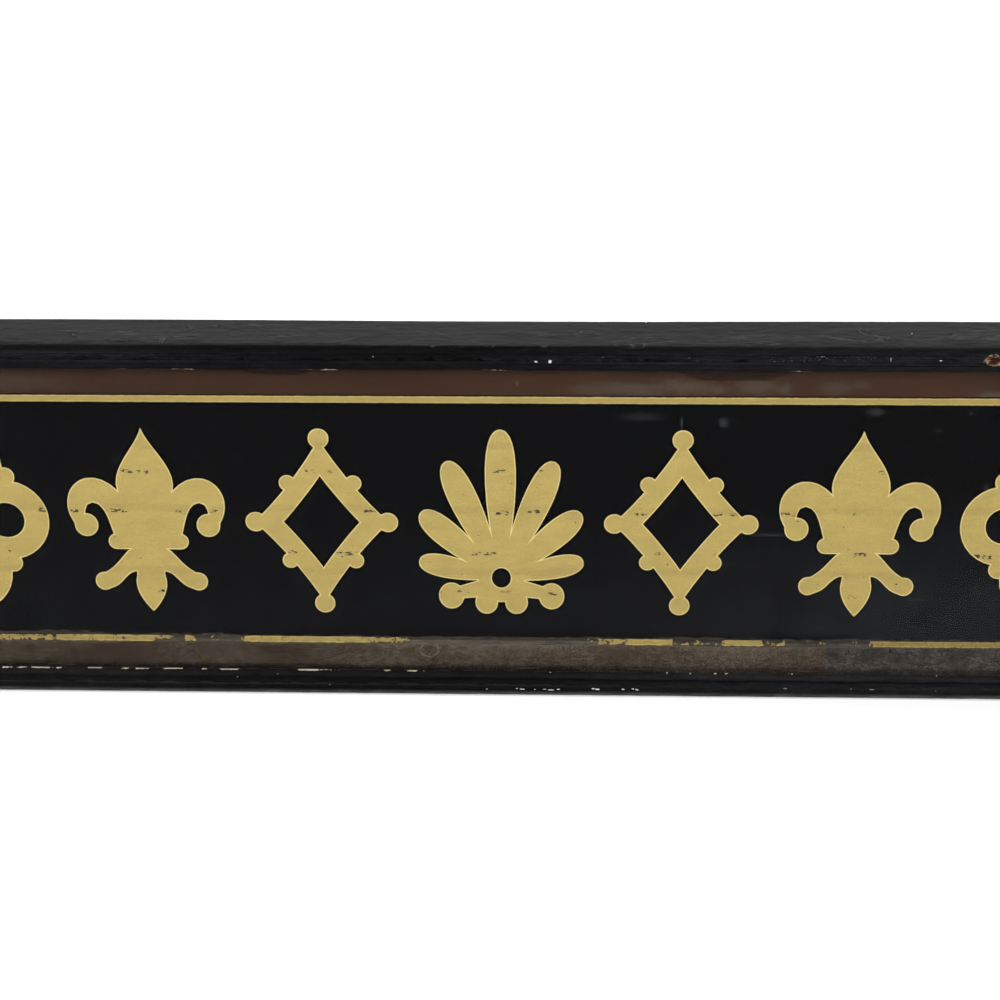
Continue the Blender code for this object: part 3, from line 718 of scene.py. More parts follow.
def scribble_group(name):
    """Thin curling lines, such as dried frills of paint and scratches."""
    given = open_group(
        name, {"Vector": None, "Size": (0.01, 0.01, 0.01), "Width": 0.01, "Twist": 1}, "Line"
    )
    scaled = vectors("DIVIDE", given["Vector"], given["Size"])
    cloud = speckle(scaled, 2, 0.5, given["Twist"])
    off = abs(cloud - 0.5)
    line = 1 - spread(off, 0, given["Width"])
    hand_out({"Line": line})


def timber_group(name):
    """Sawn softwood: growth lines along X, drawn in by knots, with a fuzzy saw texture."""
    given = open_group(
        name, {"Vector": None, "Ring": 0.006, "Knot Spacing": 0.35}, "Grain", "Knot", "Height"
    )
    place = given["Vector"]
    drift = mottle(place, (1.6, 7, 7), 2, 0.5)
    long_place = stretched(place, (0.42, 1, 1))
    cell_place = enlarged(long_place, 1 / given["Knot Spacing"])
    cell = place_node("TexVoronoi", {"Vector": cell_place, "Scale": 1})
    knot = 1 - spread(cell.outputs["Distance"], 0.02, 0.055)
    pull = 1 - spread(cell.outputs["Distance"], 0, 0.22)
    _, back, up = axes(place)
    across = back + up
    across += drift * 0.055
    across += pull * 0.03
    crowding = mottle(place, (0.3, 14, 14), 2, 0.5)
    across += crowding * 0.045
    rings = across / given["Ring"]
    wave = maths("FRACT", rings)
    late = spread(wave, 0.45, 0.92)
    late *= 1 - spread(wave, 0.92, 1)
    fibre = mottle(place, (22, 900, 900), 3, 0.6)
    grain_out = late * 0.7 + fibre * 0.5
    saw = mottle(place, (420, 30, 30), 2, 0.5)
    height = fibre * 0.7 + saw * 0.3
    height += late * 0.4
    hand_out({"Grain": grain_out, "Knot": knot, "Height": height})


def leaf_group(name):
    """Gold leaf laid in rows: laps, soft blotches, fine rubbing lines and rows of pits."""
    given = open_group(name, {"Vector": None, "Pits": 1, "Row": 0.078}, "Tone", "Pit", "Height")
    place = given["Vector"]
    along, _, up = axes(place)
    waver = mottle(place, (9, 1, 22), 3, 0.55)
    high = up + waver * 0.016
    row = high / given["Row"]
    part = maths("FRACT", row)
    lap = spread(part, 0, 0.03) * (1 - spread(part, 0.1, 0.15))
    blotch = mottle(place, (26, 1, 60), 4, 0.6, 0.3)
    lines = mottle(place, (55, 1, 900), 3, 0.6)
    dots = mottle(place, (420, 1, 420), 2, 0.6)
    tone = (blotch - 0.5) * 0.36
    tone += (lines - 0.5) * 0.3
    tone += (dots - 0.5) * 0.52
    rub = mottle(place, (60, 1, 150), 3, 0.6, 1.2, shift=(5.1, 0, 7.7))
    tone -= spread(rub, 0.66, 0.74, 0, 0.14)
    tone -= lap * 0.085
    pit_row = maths("FRACT", high / 0.0505 + 0.37)
    in_row = 1 - spread(pit_row, 0.05, 0.1)
    cluster = spread(mottle(place, (26, 1, 15), 2, shift=(2.7, 0, 4.1)), 0.52, 0.58)
    cluster *= spread(along, -0.45, 0.1, 0.75, 1)
    grit = spread(mottle(place, (150, 1, 330), 3, 0.65), 0.515, 0.532)
    pit = in_row * cluster * grit
    stray = spread(mottle(place, (190, 1, 230), 1, shift=(8.3, 0, 1.9)), 0.76, 0.772)
    pit = spread(most(pit, stray), 0.15, 0.5)
    pit *= given["Pits"]
    height = lines + lap * -0.5
    height -= pit * 2
    hand_out({"Tone": tone + 1, "Pit": pit, "Height": height})


GROUPS = {
    "Soft Patches": patches_group,
    "Ragged Spot": spot_group,
    "Blistered Paint": blister_group,
    "Curling Lines": scribble_group,
    "Sawn Timber": timber_group,
    "Gold Leaf Rows": leaf_group,
}


# Finishes


def black_frame_paint(name, values):
    """Many coats of black on the frame, dusty with painted sheen on its upper faces, with painted highlights
    and shade on folds, blisters and the lower edge, chipped to putty and to wood.
    """
    place = start_material(name)
    parts = axes(place)
    wrinkled = painted("wrinkled")
    paint = use_group(
        "Blistered Paint", {"Vector": place, "Lifted": painted("lifted"), "Wrinkled": wrinkled}
    )
    streak = mottle(place, (32, 130, 190), 4, 0.65)
    colour = clean_black(place, parts, values)
    # Painted highlight: the ridges of the rumpled paint on the run moulding are paled, as if lit from above.
    ridge_highlight = wrinkled * spread(paint["Fold"], 0.38, 0.64, 0.45, 1)
    colour = blend(ridge_highlight, colour, values.fold_highlight_black)
    # Painted light: the lowest edge of the frame is paled, standing in for light thrown up by the white floor
    # onto the lower arris.
    foot = 1 - spread(parts[2], 0, 0.0085)
    foot *= spread(streak, 0.3, 0.7, 0.7, 1)
    colour = blend(foot, colour, values.floor_lit_foot)
    # Dust and painted sheen: upward faces take a paler colour that is real dust and also stands in for the
    # sheen of the gloss paint.
    colour = blend(dust_and_sheen_on_top(place), colour, dust_and_sheen_colour(parts, streak, values))
    colour = toned(colour, spread(streak, 0.3, 0.7, 0.76, 1.26))
    # Painted light and shade: each blistered flake is toned lighter beside its riser.
    colour = toned(colour, paint["Curl Highlight"])
    grit = mottle(place, (520, 520, 520), 2, 0.7)
    colour = toned(colour, spread(grit, 0.3, 0.7, 0.8, 1.22))
    # Painted highlight on the lips of the blisters, and painted shade that darkens the cracks.
    colour = blend(paint["Lip Highlight"] * 0.6, colour, values.blister_edge_highlight)
    colour = blend(paint["Crack"] * 0.85, colour, (0.003, 0.003, 0.003))
    colour, bare = chipped_paint(place, colour, values)
    gloss = spread(streak, 0.3, 0.7, 0.36, 0.5)
    gloss = most(gloss, bare * 0.85)
    height = paint["Height"] - bare * 0.4
    return finish_surface(colour, gloss, relief(height, 0.001), specular=values.sheen)


def clean_black(place, parts, values):
    """The black before dust and wear: palest to the right, with painted light and shade on the bottom
    moulding, painted shade from the nose up and painted light where it looks up.
    """
    along, _, up = parts
    tarnish = spread(along, -0.5, -0.28, 0.45, 0) + spread(along, -0.02, 0.34, 1, 1.95)
    colour = toned(values.black, tarnish)
    colour = toned(colour, moulding_light_and_shade(place, parts))
    # Painted shade: the black is darkened from the nose of the top board upwards.
    nose = spread(up, 0.424, 0.4258, 1, values.nose_shade_tone)
    colour = toned(colour, nose)
    # Painted light: clean paint is made paler where it looks up, as if lit from above.
    return toned(colour, spread(facing_up(), 0.35, 0.9, 1, values.upward_light_tone))


def chipped_paint(place, colour, values):
    """The colour with putty and wood where the paint is gone, and how bare the place is."""
    bare_putty, chalk_grit = shed_paint(place, "shed", (160, 120, 120), 2.6)
    bare_wood, _ = shed_paint(place, "wood", (200, 330, 330), 2.2)
    chalk = blend(chalk_grit, (0.38, 0.31, 0.22), values.bare_putty)
    fibre = mottle(place, (150, 500, 500), 3, 0.6, shift=(0, 0.7, 0))
    fibre -= painted("core") * 0.34
    timber = blend(spread(fibre, 0.24, 0.6), (0.03, 0.016, 0.011), values.bare_wood)
    colour = blend(bare_putty, colour, chalk)
    colour = blend(bare_wood, colour, timber)
    return colour, most(bare_putty, bare_wood)


def moulding_light_and_shade(place, parts):
    """How the black changes over the bottom moulding: a painted highlight on the ovolo, and grime with
    painted shade in a soft groove.
    """
    along, _, up = parts
    sway = mottle(place, (10, 30, 1), 3, 0.6)
    height = up + (sway - 0.5) * 0.004
    # Painted highlight: the ovolo is paled, as if lit from above.
    ovolo = spread(height, 0.0228, 0.025)
    ovolo *= 1 - spread(up, 0.03, 0.05)
    # Grime and painted shade: the black is darkened along the groove.
    off = abs(height - 0.0215)
    groove = 1 - spread(off, 0.0004, 0.0018)
    rightwards = spread(along, -0.25, -0.08, 0.45, 1)
    groove *= rightwards * -0.6
    return maths("MULTIPLY_ADD", ovolo, 0.45, 1) + groove


def shed_paint(place, mark, scale, roughness):
    """Where paint has come off, ragged at its edges, from a value marked on the piece."""
    grit = mottle(place, scale, 4, 0.68)
    marked = painted(mark)
    level = (grit - 0.5) * roughness
    level *= spread(marked, 0, 0.25)
    return spread(marked + level, 0.5, 0.6), grit


def dust_and_sheen_on_top(place):
    """Dust, with painted sheen, lies where the surface looks up, in soft long streaks."""
    ragged = mottle(place, (16, 90, 90), 4, 0.6, 0.4)
    marked = painted("dusty")
    fraying = spread(marked, 0, 0.25) * 1.5
    edge = maths("MULTIPLY_ADD", ragged - 0.5, fraying, marked)
    lying = spread(facing_up(), 0.05, 0.6) * spread(edge, 0.05, 1)
    cloud = mottle(place, (3, 30, 30), 4, 0.62)
    return lying * spread(cloud, 0.25, 0.72, 0.62, 1)


def dust_and_sheen_colour(parts, streak, values):
    """The colour of dust and painted sheen, paler along the rear edge of the top board towards the right,
    partly a painted sheen on the rounded rear arris.
    """
    along, back, _ = parts
    rear = spread(back, REAR_Y - 0.014, REAR_Y - 0.001)
    rear *= spread(along, -0.25, -0.05, 0.25, 1)
    rear *= spread(streak, 0.35, 0.6, 0.5, 1)
    dust = blend(rear, values.dusty_sheen_black, values.rear_dust_and_sheen)
    dull = most(spread(along, -0.06, 0.2, 1, 0.74), spread(along, 0.32, 0.42, 0, 0.96))
    return toned(dust, dull)


def plate_glass(name, values):
    """Old plate glass that lets the lamps through to the gilding."""
    place = start_material(name)
    ripple = mottle(place, (5, 1, 9), 1, 0.4)
    smear = mottle(place, (40, 1, 26), 4, 0.65)
    shader = place_node(
        "BsdfPrincipled",
        {
            "Roughness": spread(smear, 0.45, 0.75, 0, 0.05),
            "IOR": 1.5,
            "Transmission Weight": 1,
            "Specular IOR Level": values.reflection,
            "Specular Tint": values.reflection_tint,
            "Normal": relief(ripple, 0.0006),
            "Base Color": blend(smear, values.glass_colour, (0.99, 0.99, 0.985)),
        },
    )
    path = place_node("LightPath").outputs
    passing = most(path["Is Shadow Ray"], path["Is Diffuse Ray"])
    clear = place_node("BsdfTransparent", {"Color": (0.97, 0.98, 0.975)})
    return show(place_node("MixShader", {0: passing, 1: shader.outputs[0], 2: clear.outputs[0]}))


def bedding_putty(name, values):
    """Dry putty, overpainted black along most of its edge."""
    place = start_material(name)
    grit = mottle(place, (300, 500, 500), 4, 0.6)
    bare = soft_patches(place, (0.03, 0.02, 0.02), 0.27, 0.02)
    chalk = blend(grit, (0.34, 0.26, 0.18), values.bare_putty)
    colour = blend(bare, values.black, chalk)
    return finish_surface(colour, 0.85, relief(grit, 0.0004))


def gold_leaf(name, values, burnished=False):
    """Leaf on the back of the glass: matt in the middle, burnished along the outlines."""
    place = start_material(name)
    leaf = use_group("Gold Leaf Rows", {"Vector": place, "Pits": 0 if burnished else 1})
    colour = values.burnished_gold if burnished else values.matt_gold
    colour = toned(colour, leaf["Tone"])
    colour = blend(leaf["Pit"], colour, (0.006, 0.005, 0.005))
    metal = (1 - leaf["Pit"]) * values.metal
    return finish_surface(
        colour, values.burnish if burnished else values.mattness, relief(leaf["Height"], 0.00004),
        metallic=metal,
    )


def ruled_leaf(name, values, middle, half_width, along_x, worn):
    """Leaf of a ruled line, burnished along both edges and cracked across where it is worn."""
    place = start_material(name)
    leaf = use_group("Gold Leaf Rows", {"Vector": place, "Pits": 0.4})
    along, _, up = axes(place)
    across = up if along_x else abs(along)
    off = abs(across - middle)
    rim = spread(off, half_width - values.line_rim - 0.0003, half_width - values.line_rim)
    nicks = mottle(place, (210, 1, 210), 3, 0.7)
    frayed = off + (nicks - 0.5) * 0.004
    frayed = spread(frayed, half_width - 0.0007, half_width - 0.0003)
    colour = blend(rim, values.line_gold, values.line_edge_gold)
    colour = toned(colour, leaf["Tone"])
    lost = leaf["Pit"]
    if worn and along_x:
        colour = toned(colour, spread(along, 0.36, 0.42, 1, 0.72))
    if worn:
        crack_size = (0.03, 1, 0.06) if along_x else (0.06, 1, 0.03)
        cracks = curling_lines(place, crack_size, 0.007, 1.6)
        grime = soft_patches(place, (0.01, 1, 0.004), 0.44, 0.1)
        colour = blend(grime * 0.55, colour, (0.19, 0.115, 0.035))
        lost = most(lost, cracks)
    lost = most(lost, frayed * 0.85)
    colour = blend(lost, colour, (0.012, 0.01, 0.008))
    metal = (1 - lost) * values.metal
    return finish_surface(colour, values.mattness, relief(leaf["Height"], 0.00004), metallic=metal)


def black_ground_paint(name, values):
    """Japan black behind the glass, with a painted reflection low down and towards the right, with scratches,
    smudges and a dusty foot.
    """
    place = start_material(name)
    parts = axes(place)
    along, _, up = parts
    # Painted reflection: the black is paled low down and towards the right, and the haze mask carries it.
    low = 1 - spread(up, 0.07, 0.26)
    to_right = spread(along, -0.05, 0.55)
    haze = low * (0.25 + to_right * 0.9)
    cloud = mottle(place, (8, 1, 11), 4, 0.6)
    haze *= spread(cloud, 0.25, 0.75, 0.5, 1.35)
    clear = spread(up, BOTTOM_LINE_HIGH.z + 0.001, BOTTOM_LINE_HIGH.z + 0.012, 0.2, 1)
    clear = most(clear, spread(along, 0.34, 0.46))
    haze *= clear
    fine = mottle(place, (620, 1, 620), 2, 0.6)
    colour = blend(haze, values.ground_black, values.ground_reflection)
    colour = toned(colour, spread(fine, 0.3, 0.7, 0.62, 1.45))
    colour = blend(ground_marks(place, along), colour, (0.16, 0.16, 0.17))
    foot = dusty_foot(place, parts)
    colour = blend(foot["dust"], colour, values.foot_dust)
    colour = blend(foot["pale"], colour, values.pale_dust)
    return finish_surface(colour, 0.5, relief(fine, 0.00004), specular=0)


def ground_marks(place, along):
    """Scratches, motes and smudges on the black ground."""
    scratches = curling_lines(place, (0.6, 1, 0.055), 0.0016, 0.25)
    broken = soft_patches(place, (0.016, 1, 0.05), 0.4, 0.04)
    marks = scratches * broken * 0.3
    marks *= spread(along, -0.1, 0.2, 0.7, 1.5)
    motes = spread(mottle(place, (150, 1, 150), 1), 0.775, 0.82)
    marks = most(marks, motes * spread(along, -0.1, 0.3, 0.18, 0.42))
    for x, z, half_width, half_height, strength in SMUDGES:
        reach = (half_width, 1, half_height)
        spot = ragged_spot(place, (x, GROUND_LOW.y, z), reach, 0.9, 0.8, 0.0035)["Mask"]
        marks = most(marks, spot * (strength * 0.75))
    return marks


def dusty_foot(place, parts):
    """Dirt along the lower gilt line, above it as a fringe and in its place where it is gone."""
    along, _, up = parts
    line_high = BOTTOM_LINE_HIGH.z
    ragged = mottle(place, (90, 1, 150), 5, 0.7, 0.6)
    wide = mottle(place, (7, 1, 1), 2, 0.5)
    top = line_high - 0.0085 + ragged * 0.012
    top += wide * 0.0096
    top += spread(along, -0.5, -0.43, 0.003, 0)
    below = top - up
    dust = spread(below, 0, 0.0035)
    dust *= spread(ragged, 0.35, 0.6, 0.7, 1)
    streak = mottle(place, (26, 1, 330), 4, 0.65)
    band = 1 - spread(up, line_high - 0.005, line_high - 0.0025)
    streak = band * spread(streak, 0.34, 0.66, 0.22, 0.95)
    frayed = spread(below, 0, 0.0025) * (1 - spread(below, 0.0025, 0.005))
    pale = most(streak, frayed * (ragged * 0.45))
    curls = curling_lines(place, (0.012, 1, 0.0075), 0.045, 2.4)
    flaked = 1 - spread(abs(along + 0.335), 0.035, 0.06)
    curls *= flaked
    pale = most(pale, curls) * dust
    pale *= spread(abs(along), 0.11, 0.16, 1, 0.6)
    return {"dust": dust, "pale": pale}


def upper_brown(name, values):
    """Even brown border paint above, with a soft grey haze in places."""
    place = start_material(name)
    fine = mottle(place, (700, 1, 700), 2, 0.6)
    wide = mottle(place, (5, 1, 9), 3, 0.5)
    colour = blend(spread(wide, 0.35, 0.65), values.brown, values.red_brown)
    along, _, up = axes(place)
    colour = toned(colour, spread(along, -0.2, 0.35, 0.97, 1.15))
    colour = toned(colour, spread(fine, 0.3, 0.7, 0.62, 1.45))
    haze = None
    for x, z, half_width, half_height, strength in HAZE_PLACES:
        reach = (half_width, 1, half_height)
        spot = ragged_spot(place, (x, GROUND_LOW.y, z), reach, 0.85, 0.75, 0.008)["Mask"]
        part = spot * (strength * values.haze_strength)
        haze = part if haze is None else most(haze, part)
    colour = blend(haze, colour, values.brown_haze)
    ragged = mottle(place, (60, 1, 90), 4, 0.6)
    aside = abs(along - values.spill_middle)
    spill_place = most(
        spread(aside, 0.03, 0.075, 1, 0), spread(abs(along + 0.25), 0.02, 0.05, 0.55, 0)
    )
    ragged = maths("MULTIPLY_ADD", ragged, 0.5, 0.25)
    spill = 0.0015 + ragged * spill_place * 0.022
    below = SIGHT_TOP - up
    covered = 1 - spread(below, spill, spill + 0.002)
    colour = blend(covered * 0.6, colour, values.black)
    return finish_surface(colour, 0.6, relief(fine, 0.00004), specular=0)


def lower_brown(name, values, mark_places):
    """Stained brown border paint below and at the sides, greyer, blotched, curled and scratched."""
    place = start_material(name)
    parts = axes(place)
    along = parts[0]
    fine = mottle(place, (520, 1, 520), 3, 0.7)
    blotch = mottle(place, (110, 1, 150), 5, 0.66, 0.6)
    wide = mottle(place, (7, 1, 16), 3, 0.5, shift=(4.4, 0, 0))
    rightwards = spread(along, -0.26, -0.04, -0.3, 0.3)
    greyness = maths("ADD", spread(wide, 0.36, 0.64), rightwards, clamped=True)
    colour = blend(greyness, values.stained_brown, values.grey_brown)
    colour = toned(colour, spread(blotch, 0.3, 0.7, 0.66, 1.34))
    colour = toned(colour, spread(fine, 0.3, 0.7, 0.38, 1.8))
    colour = toned(colour, spread(along, -0.22, -0.08, 1.06, 1.18))
    pale = flaking(place, (0.008, 1, 0.007), 0.05, (0.06, 1, 0.03), 0.5)
    pale *= spread(along, -0.3, -0.05, 0.15, 0.26)
    streaks = mottle(place, (16, 1, 300), 4, 0.62)
    pale = most(pale, spread(streaks, 0.56, 0.72) * 0.24)
    if mark_places:
        colour, pale = placed_marks(place, parts, blotch, colour, pale, values)
    colour = blend(pale, colour, values.pale_curl)
    return finish_surface(colour, 0.6, relief(blotch, 0.00008), specular=0)


def placed_marks(place, parts, blotch, colour, pale, values):
    """The marks of the border below: a water ring, a grey end with frills and a foot darkened by grime and
    painted shade beside the bottom moulding.
    """
    along, _, up = parts
    pale = most(pale, water_ring(place, values))
    under_line = spread(up, BOTTOM_LINE_LOW.z - 0.01, BOTTOM_LINE_LOW.z)
    colour = toned(colour, maths("MULTIPLY_ADD", under_line, 0.3, 0.92))
    bleached = spread(along, 0.04, 0.14) * 0.085
    colour = toned(colour, bleached + 1)
    past = spread(along, values.stain_start - 0.0015, values.stain_start + 0.0015)
    stain = toned(values.grey_stain, spread(blotch, 0.3, 0.7, 0.62, 1.75))
    colour = blend(past * 0.85, colour, stain)
    frill = flaking(place, (0.01, 1, 0.008), 0.07, (0.045, 1, 0.02), 0.52)
    low = 1 - spread(up, 0.03, 0.05)
    frill = frill * 0.58 + low * 0.13
    colour = blend(frill * past, colour, values.mauve_flake)
    pale *= maths("MULTIPLY_ADD", past, -0.75, 1)
    # Grime and painted shade: the border is darkened towards the bottom moulding.
    grime_and_shade_foot = 1 - spread(up - SIGHT_BOTTOM, 0, 0.009)
    grime_and_shade_foot *= spread(along, 0.05, 0.3, 0.85, 0.45)
    return blend(grime_and_shade_foot, colour, (0.01, 0.008, 0.007)), pale


def flaking(place, size, width, patch, cover):
    """Curled lines of lifting paint that come in patches."""
    curls = curling_lines(place, size, width, 1.8)
    patches = soft_patches(place, patch, cover, 0.06)
    return curls * patches


def water_ring(place, values):
    """A round stain with a pale rim."""
    reach = (values.ring_radius, 1, values.ring_radius * 0.85)
    distance = ragged_spot(place, values.ring_middle, reach, 0.22, 0.1, 0.006)["Distance"]
    rim = 1 - spread(abs(distance - 1), 0, 0.2)
    return rim * 0.42


def old_pine(name, values, upright=False):
    """Unpainted pine, grey with dust, its grain along the piece and its own on each board."""
    place = start_material(name)
    board = painted("board")
    if upright:
        turned = place_node("Mapping", {"Vector": place, "Rotation": (0, math.radians(90), 0)})
        place = turned.outputs["Vector"]
    steps = {"X": board * 13, "Y": board * 0.9, "Z": board * 2.3}
    apart = place_node("CombineXYZ", steps)
    place = vectors("ADD", place, apart.outputs["Vector"])
    timber = use_group("Sawn Timber", {"Vector": place, "Ring": 0.0085})
    colour = blend(timber["Grain"], values.early_wood, values.late_wood)
    colour = blend(timber["Knot"], colour, values.knot)
    grime = soft_patches(place, (0.22, 0.07, 0.07), 0.42, 0.14)
    colour = blend(grime * 0.45, colour, values.grime)
    colour = toned(colour, 1 - board * 0.28)
    return finish_surface(colour, 0.82, relief(timber["Height"], 0.0003))


def brown_paper(name, values):
    """Old backing paper, creased and spotted."""
    place = start_material(name)
    fibre = mottle(place, (500, 500, 500), 3, 0.6)
    colour = blend(fibre, values.grime, values.early_wood)
    return finish_surface(colour, 0.95, relief(fibre, 0.0001))


def rusted_steel(name):
    """Iron screws and nails, browned by rust."""
    place = start_material(name)
    rust = mottle(place, (420, 420, 420), 4, 0.65)
    share = spread(rust, 0.38, 0.62)
    colour = blend(share, (0.1, 0.095, 0.09), (0.13, 0.055, 0.025))
    return finish_surface(
        colour, spread(rust, 0.3, 0.7, 0.45, 0.85), relief(rust, 0.0002), metallic=0.85 - share * 0.7
    )


def lime_splash(name, colour):
    """Dry splashes of one colour, thin in places."""
    place = start_material(name)
    grit = mottle(place, (500, 500, 500), 4, 0.6)
    thin = [share * 0.5 for share in colour]
    mixed = blend(spread(grit, 0.3, 0.6), thin, colour)
    return finish_surface(mixed, 0.8, relief(grit, 0.0003))


def glossy_drip(name, values):
    """Thick black paint that dried in drops."""
    place = start_material(name)
    grit = mottle(place, (240, 240, 240), 3, 0.6)
    # The drops are mottled at random between clean black and the paler fold highlight colour.
    colour = blend(grit, values.black, values.fold_highlight_black)
    return finish_surface(colour, spread(grit, 0.3, 0.7, 0.18, 0.34), relief(grit, 0.0002), specular=0.25)


# Shapes of the frame


def mark_points(piece, **rules):
    """Writes named values on the points, each one number or a rule of the point's place."""
    for name, rule in rules.items():
        marks = piece.data.attributes.new(name, "FLOAT", "POINT")
        for vertex in piece.data.vertices:
            marks.data[vertex.index].value = rule(vertex.co) if callable(rule) else rule


def along_edge(place, start, end):
    """1 within a stretch, easing to 0 past its ends."""
    return ease(start - 0.0025, start + 0.0006, place) * (1 - ease(end - 0.0006, end + 0.0025, place))


def chipped(chips, edge_z, reach):
    """How bare a moulding is along its sight edge: on the arris above, behind the arris below."""
    below = edge_z < MIDDLE_Z

    def rule(place):
        """The bare share at a place."""
        near = 1 - ease(0.4 * reach, reach, abs(place.z - edge_z))
        behind = place.y > FRONT_Y + (0.007 if below else 0.0065)
        if near <= 0 or behind != below:
            return 0
        best = 0
        for start, end, bareness in chips:
            towards_end = abs(2 * place.x - start - end) / (end - start)
            level = bareness * along_edge(place.x, start, end) * (1.08 - 0.46 * towards_end ** 2)
            best = max(best, level)
        return near * best

    return rule


def colour_value(name, description, default):
    """A colour that the panel shows."""
    return bpy.props.FloatVectorProperty(
        name=name, description=description, subtype="COLOR", default=default, min=0, max=1
    )


def plain_value(name, description, default, low=0, high=1000, **kind):
    """A number that the panel shows."""
    return bpy.props.FloatProperty(
        name=name, description=description, default=default, min=low, max=high, **kind
    )


def length_value(name, description, default, low=-10, high=10):
    """A length that the panel shows."""
    return plain_value(name, description, default, low, high, unit="LENGTH")


def share_value(name, description, default):
    """A share between 0 and 1 that the panel shows."""
    return plain_value(name, description, default, 0, 1, subtype="FACTOR")


def angle_value(name, description, default):
    """An angle that the panel shows."""
    return plain_value(name, description, default, -math.pi, math.pi, subtype="ANGLE")


class FrameValues(bpy.types.PropertyGroup):
    """Paint and putty of the frame."""

    black: colour_value("Black paint", "Clean black of the frame", (0.005, 0.005, 0.0052))
    # Folded black is the colour of a painted highlight on the ridges of rumpled paint.
    fold_highlight_black: colour_value(
        "Folded black", "Rumpled black paint along the run moulding", (0.0185, 0.0175, 0.0225))
    # Dusty black and rear dust are real dust and painted sheen on the upper faces.
    dusty_sheen_black: colour_value(
        "Dusty black", "Black paint under the dust of an upper face", (0.015, 0.015, 0.0152))
    rear_dust_and_sheen: colour_value("Rear dust", "Dust along the rear edge of the top", (0.034, 0.034, 0.034))
    # The pale foot is painted light from the floor on the lower edge of the bottom board.
    floor_lit_foot: colour_value("Pale foot", "Scuffed lower edge of the bottom board", (0.12, 0.12, 0.122))
    # The lifted edge colour is a painted highlight on the lips of the blisters.
    blister_edge_highlight: colour_value("Lifted edge", "Worn edge of a blister", (0.062, 0.058, 0.054))
    bare_putty: colour_value("Bare putty", "Putty where the paint has chipped", (0.74, 0.66, 0.53))
    bare_wood: colour_value("Bare wood", "Wood where the paint has chipped", (0.44, 0.27, 0.17))
    splash: colour_value("Splash", "Dry white splashes on the rails", (0.7, 0.72, 0.74))
    speck: colour_value("Speck", "Grey specks and scuffs on the frame", (0.2, 0.2, 0.2))
    sheen: share_value("Sheen", "Strength of the paint's reflections", 0.01)
    nose_round: length_value(
        "Nose rounding", "How far paint and wear have lowered the nose", 0.0022, 0, 0.004)
    rumple: length_value("Rumple", "Unevenness of the paint skin on the run moulding", 0.0014, 0, 0.003)
    # The nose tone is painted shade on the nose of the top board.
    nose_shade_tone: plain_value("Nose tone", "Tone of the clean nose beside the run moulding", 0.92, 0, 2)
    # The upper tone is painted light on faces that look up.
    upward_light_tone: plain_value("Upper tone", "Tone of clean paint where it looks up", 1.1, 0, 2)
    sill_build: length_value(
        "Sill build-up", "Thickness of old paint on the bottom sight edge", 0.0011, 0, 0.003)
    sight_wear: length_value("Sight edge wear", "How far the upper sight edge has worn back", 0.001, 0, 0.003)
    paint_bridge: length_value(
        "Paint bridge", "How far paint reaches across the joint beside a moulding", 0.0018, 0, 0.003)
    quirk_fill: share_value("Quirk fill", "Share of each quirk that is filled with old paint", 0.95)
    paint_relief: length_value(
        "Paint relief", "How far thick paint and bare places differ in height", 0.0013, 0, 0.003)
    moulding_relief: length_value(
        "Moulding relief", "Unevenness of the paint on the mouldings", 0.0009, 0, 0.003)


class GlassValues(bpy.types.PropertyGroup):
    """The pane."""

    glass_colour: colour_value("Glass colour", "Tint of the plate glass", (0.955, 0.975, 0.965))
    reflection: share_value("Reflection", "Strength of the pane's reflections", 0.08)
    reflection_tint: colour_value(
        "Reflection tint", "Colour and strength of reflections off the pane", (0.036, 0.036, 0.04))


class GildingValues(bpy.types.PropertyGroup):
    """Gold leaf on the back of the glass."""

    matt_gold: colour_value("Matt gold", "Leaf in the middle of an ornament", (0.475, 0.345, 0.098))
    burnished_gold: colour_value("Burnished gold", "Leaf along an ornament's outline", (0.74, 0.58, 0.225))
    line_gold: colour_value("Line gold", "Leaf in the middle of a ruled line", (0.385, 0.275, 0.072))
    line_edge_gold: colour_value(
        "Line edge gold", "Leaf along the edges of a ruled line", (0.53, 0.39, 0.115))
    metal: share_value("Metal", "How metallic the leaf is", 0.35)
    mattness: share_value("Mattness", "Roughness of the matt leaf", 0.46)
    burnish: share_value("Burnish", "Roughness of the burnished leaf", 0.3)
    outline: length_value("Outline", "Width of the burnished outline", 0.0012, 0.0005, 0.004)
    line_rim: length_value("Line rim", "Width of the bright edges of a ruled line", 0.0016, 0.0002, 0.004)
    leaf_cell: length_value(
        "Leaf cell", "Size of the flakes in which the lower line is lost", 0.0009, 0.0004, 0.004)


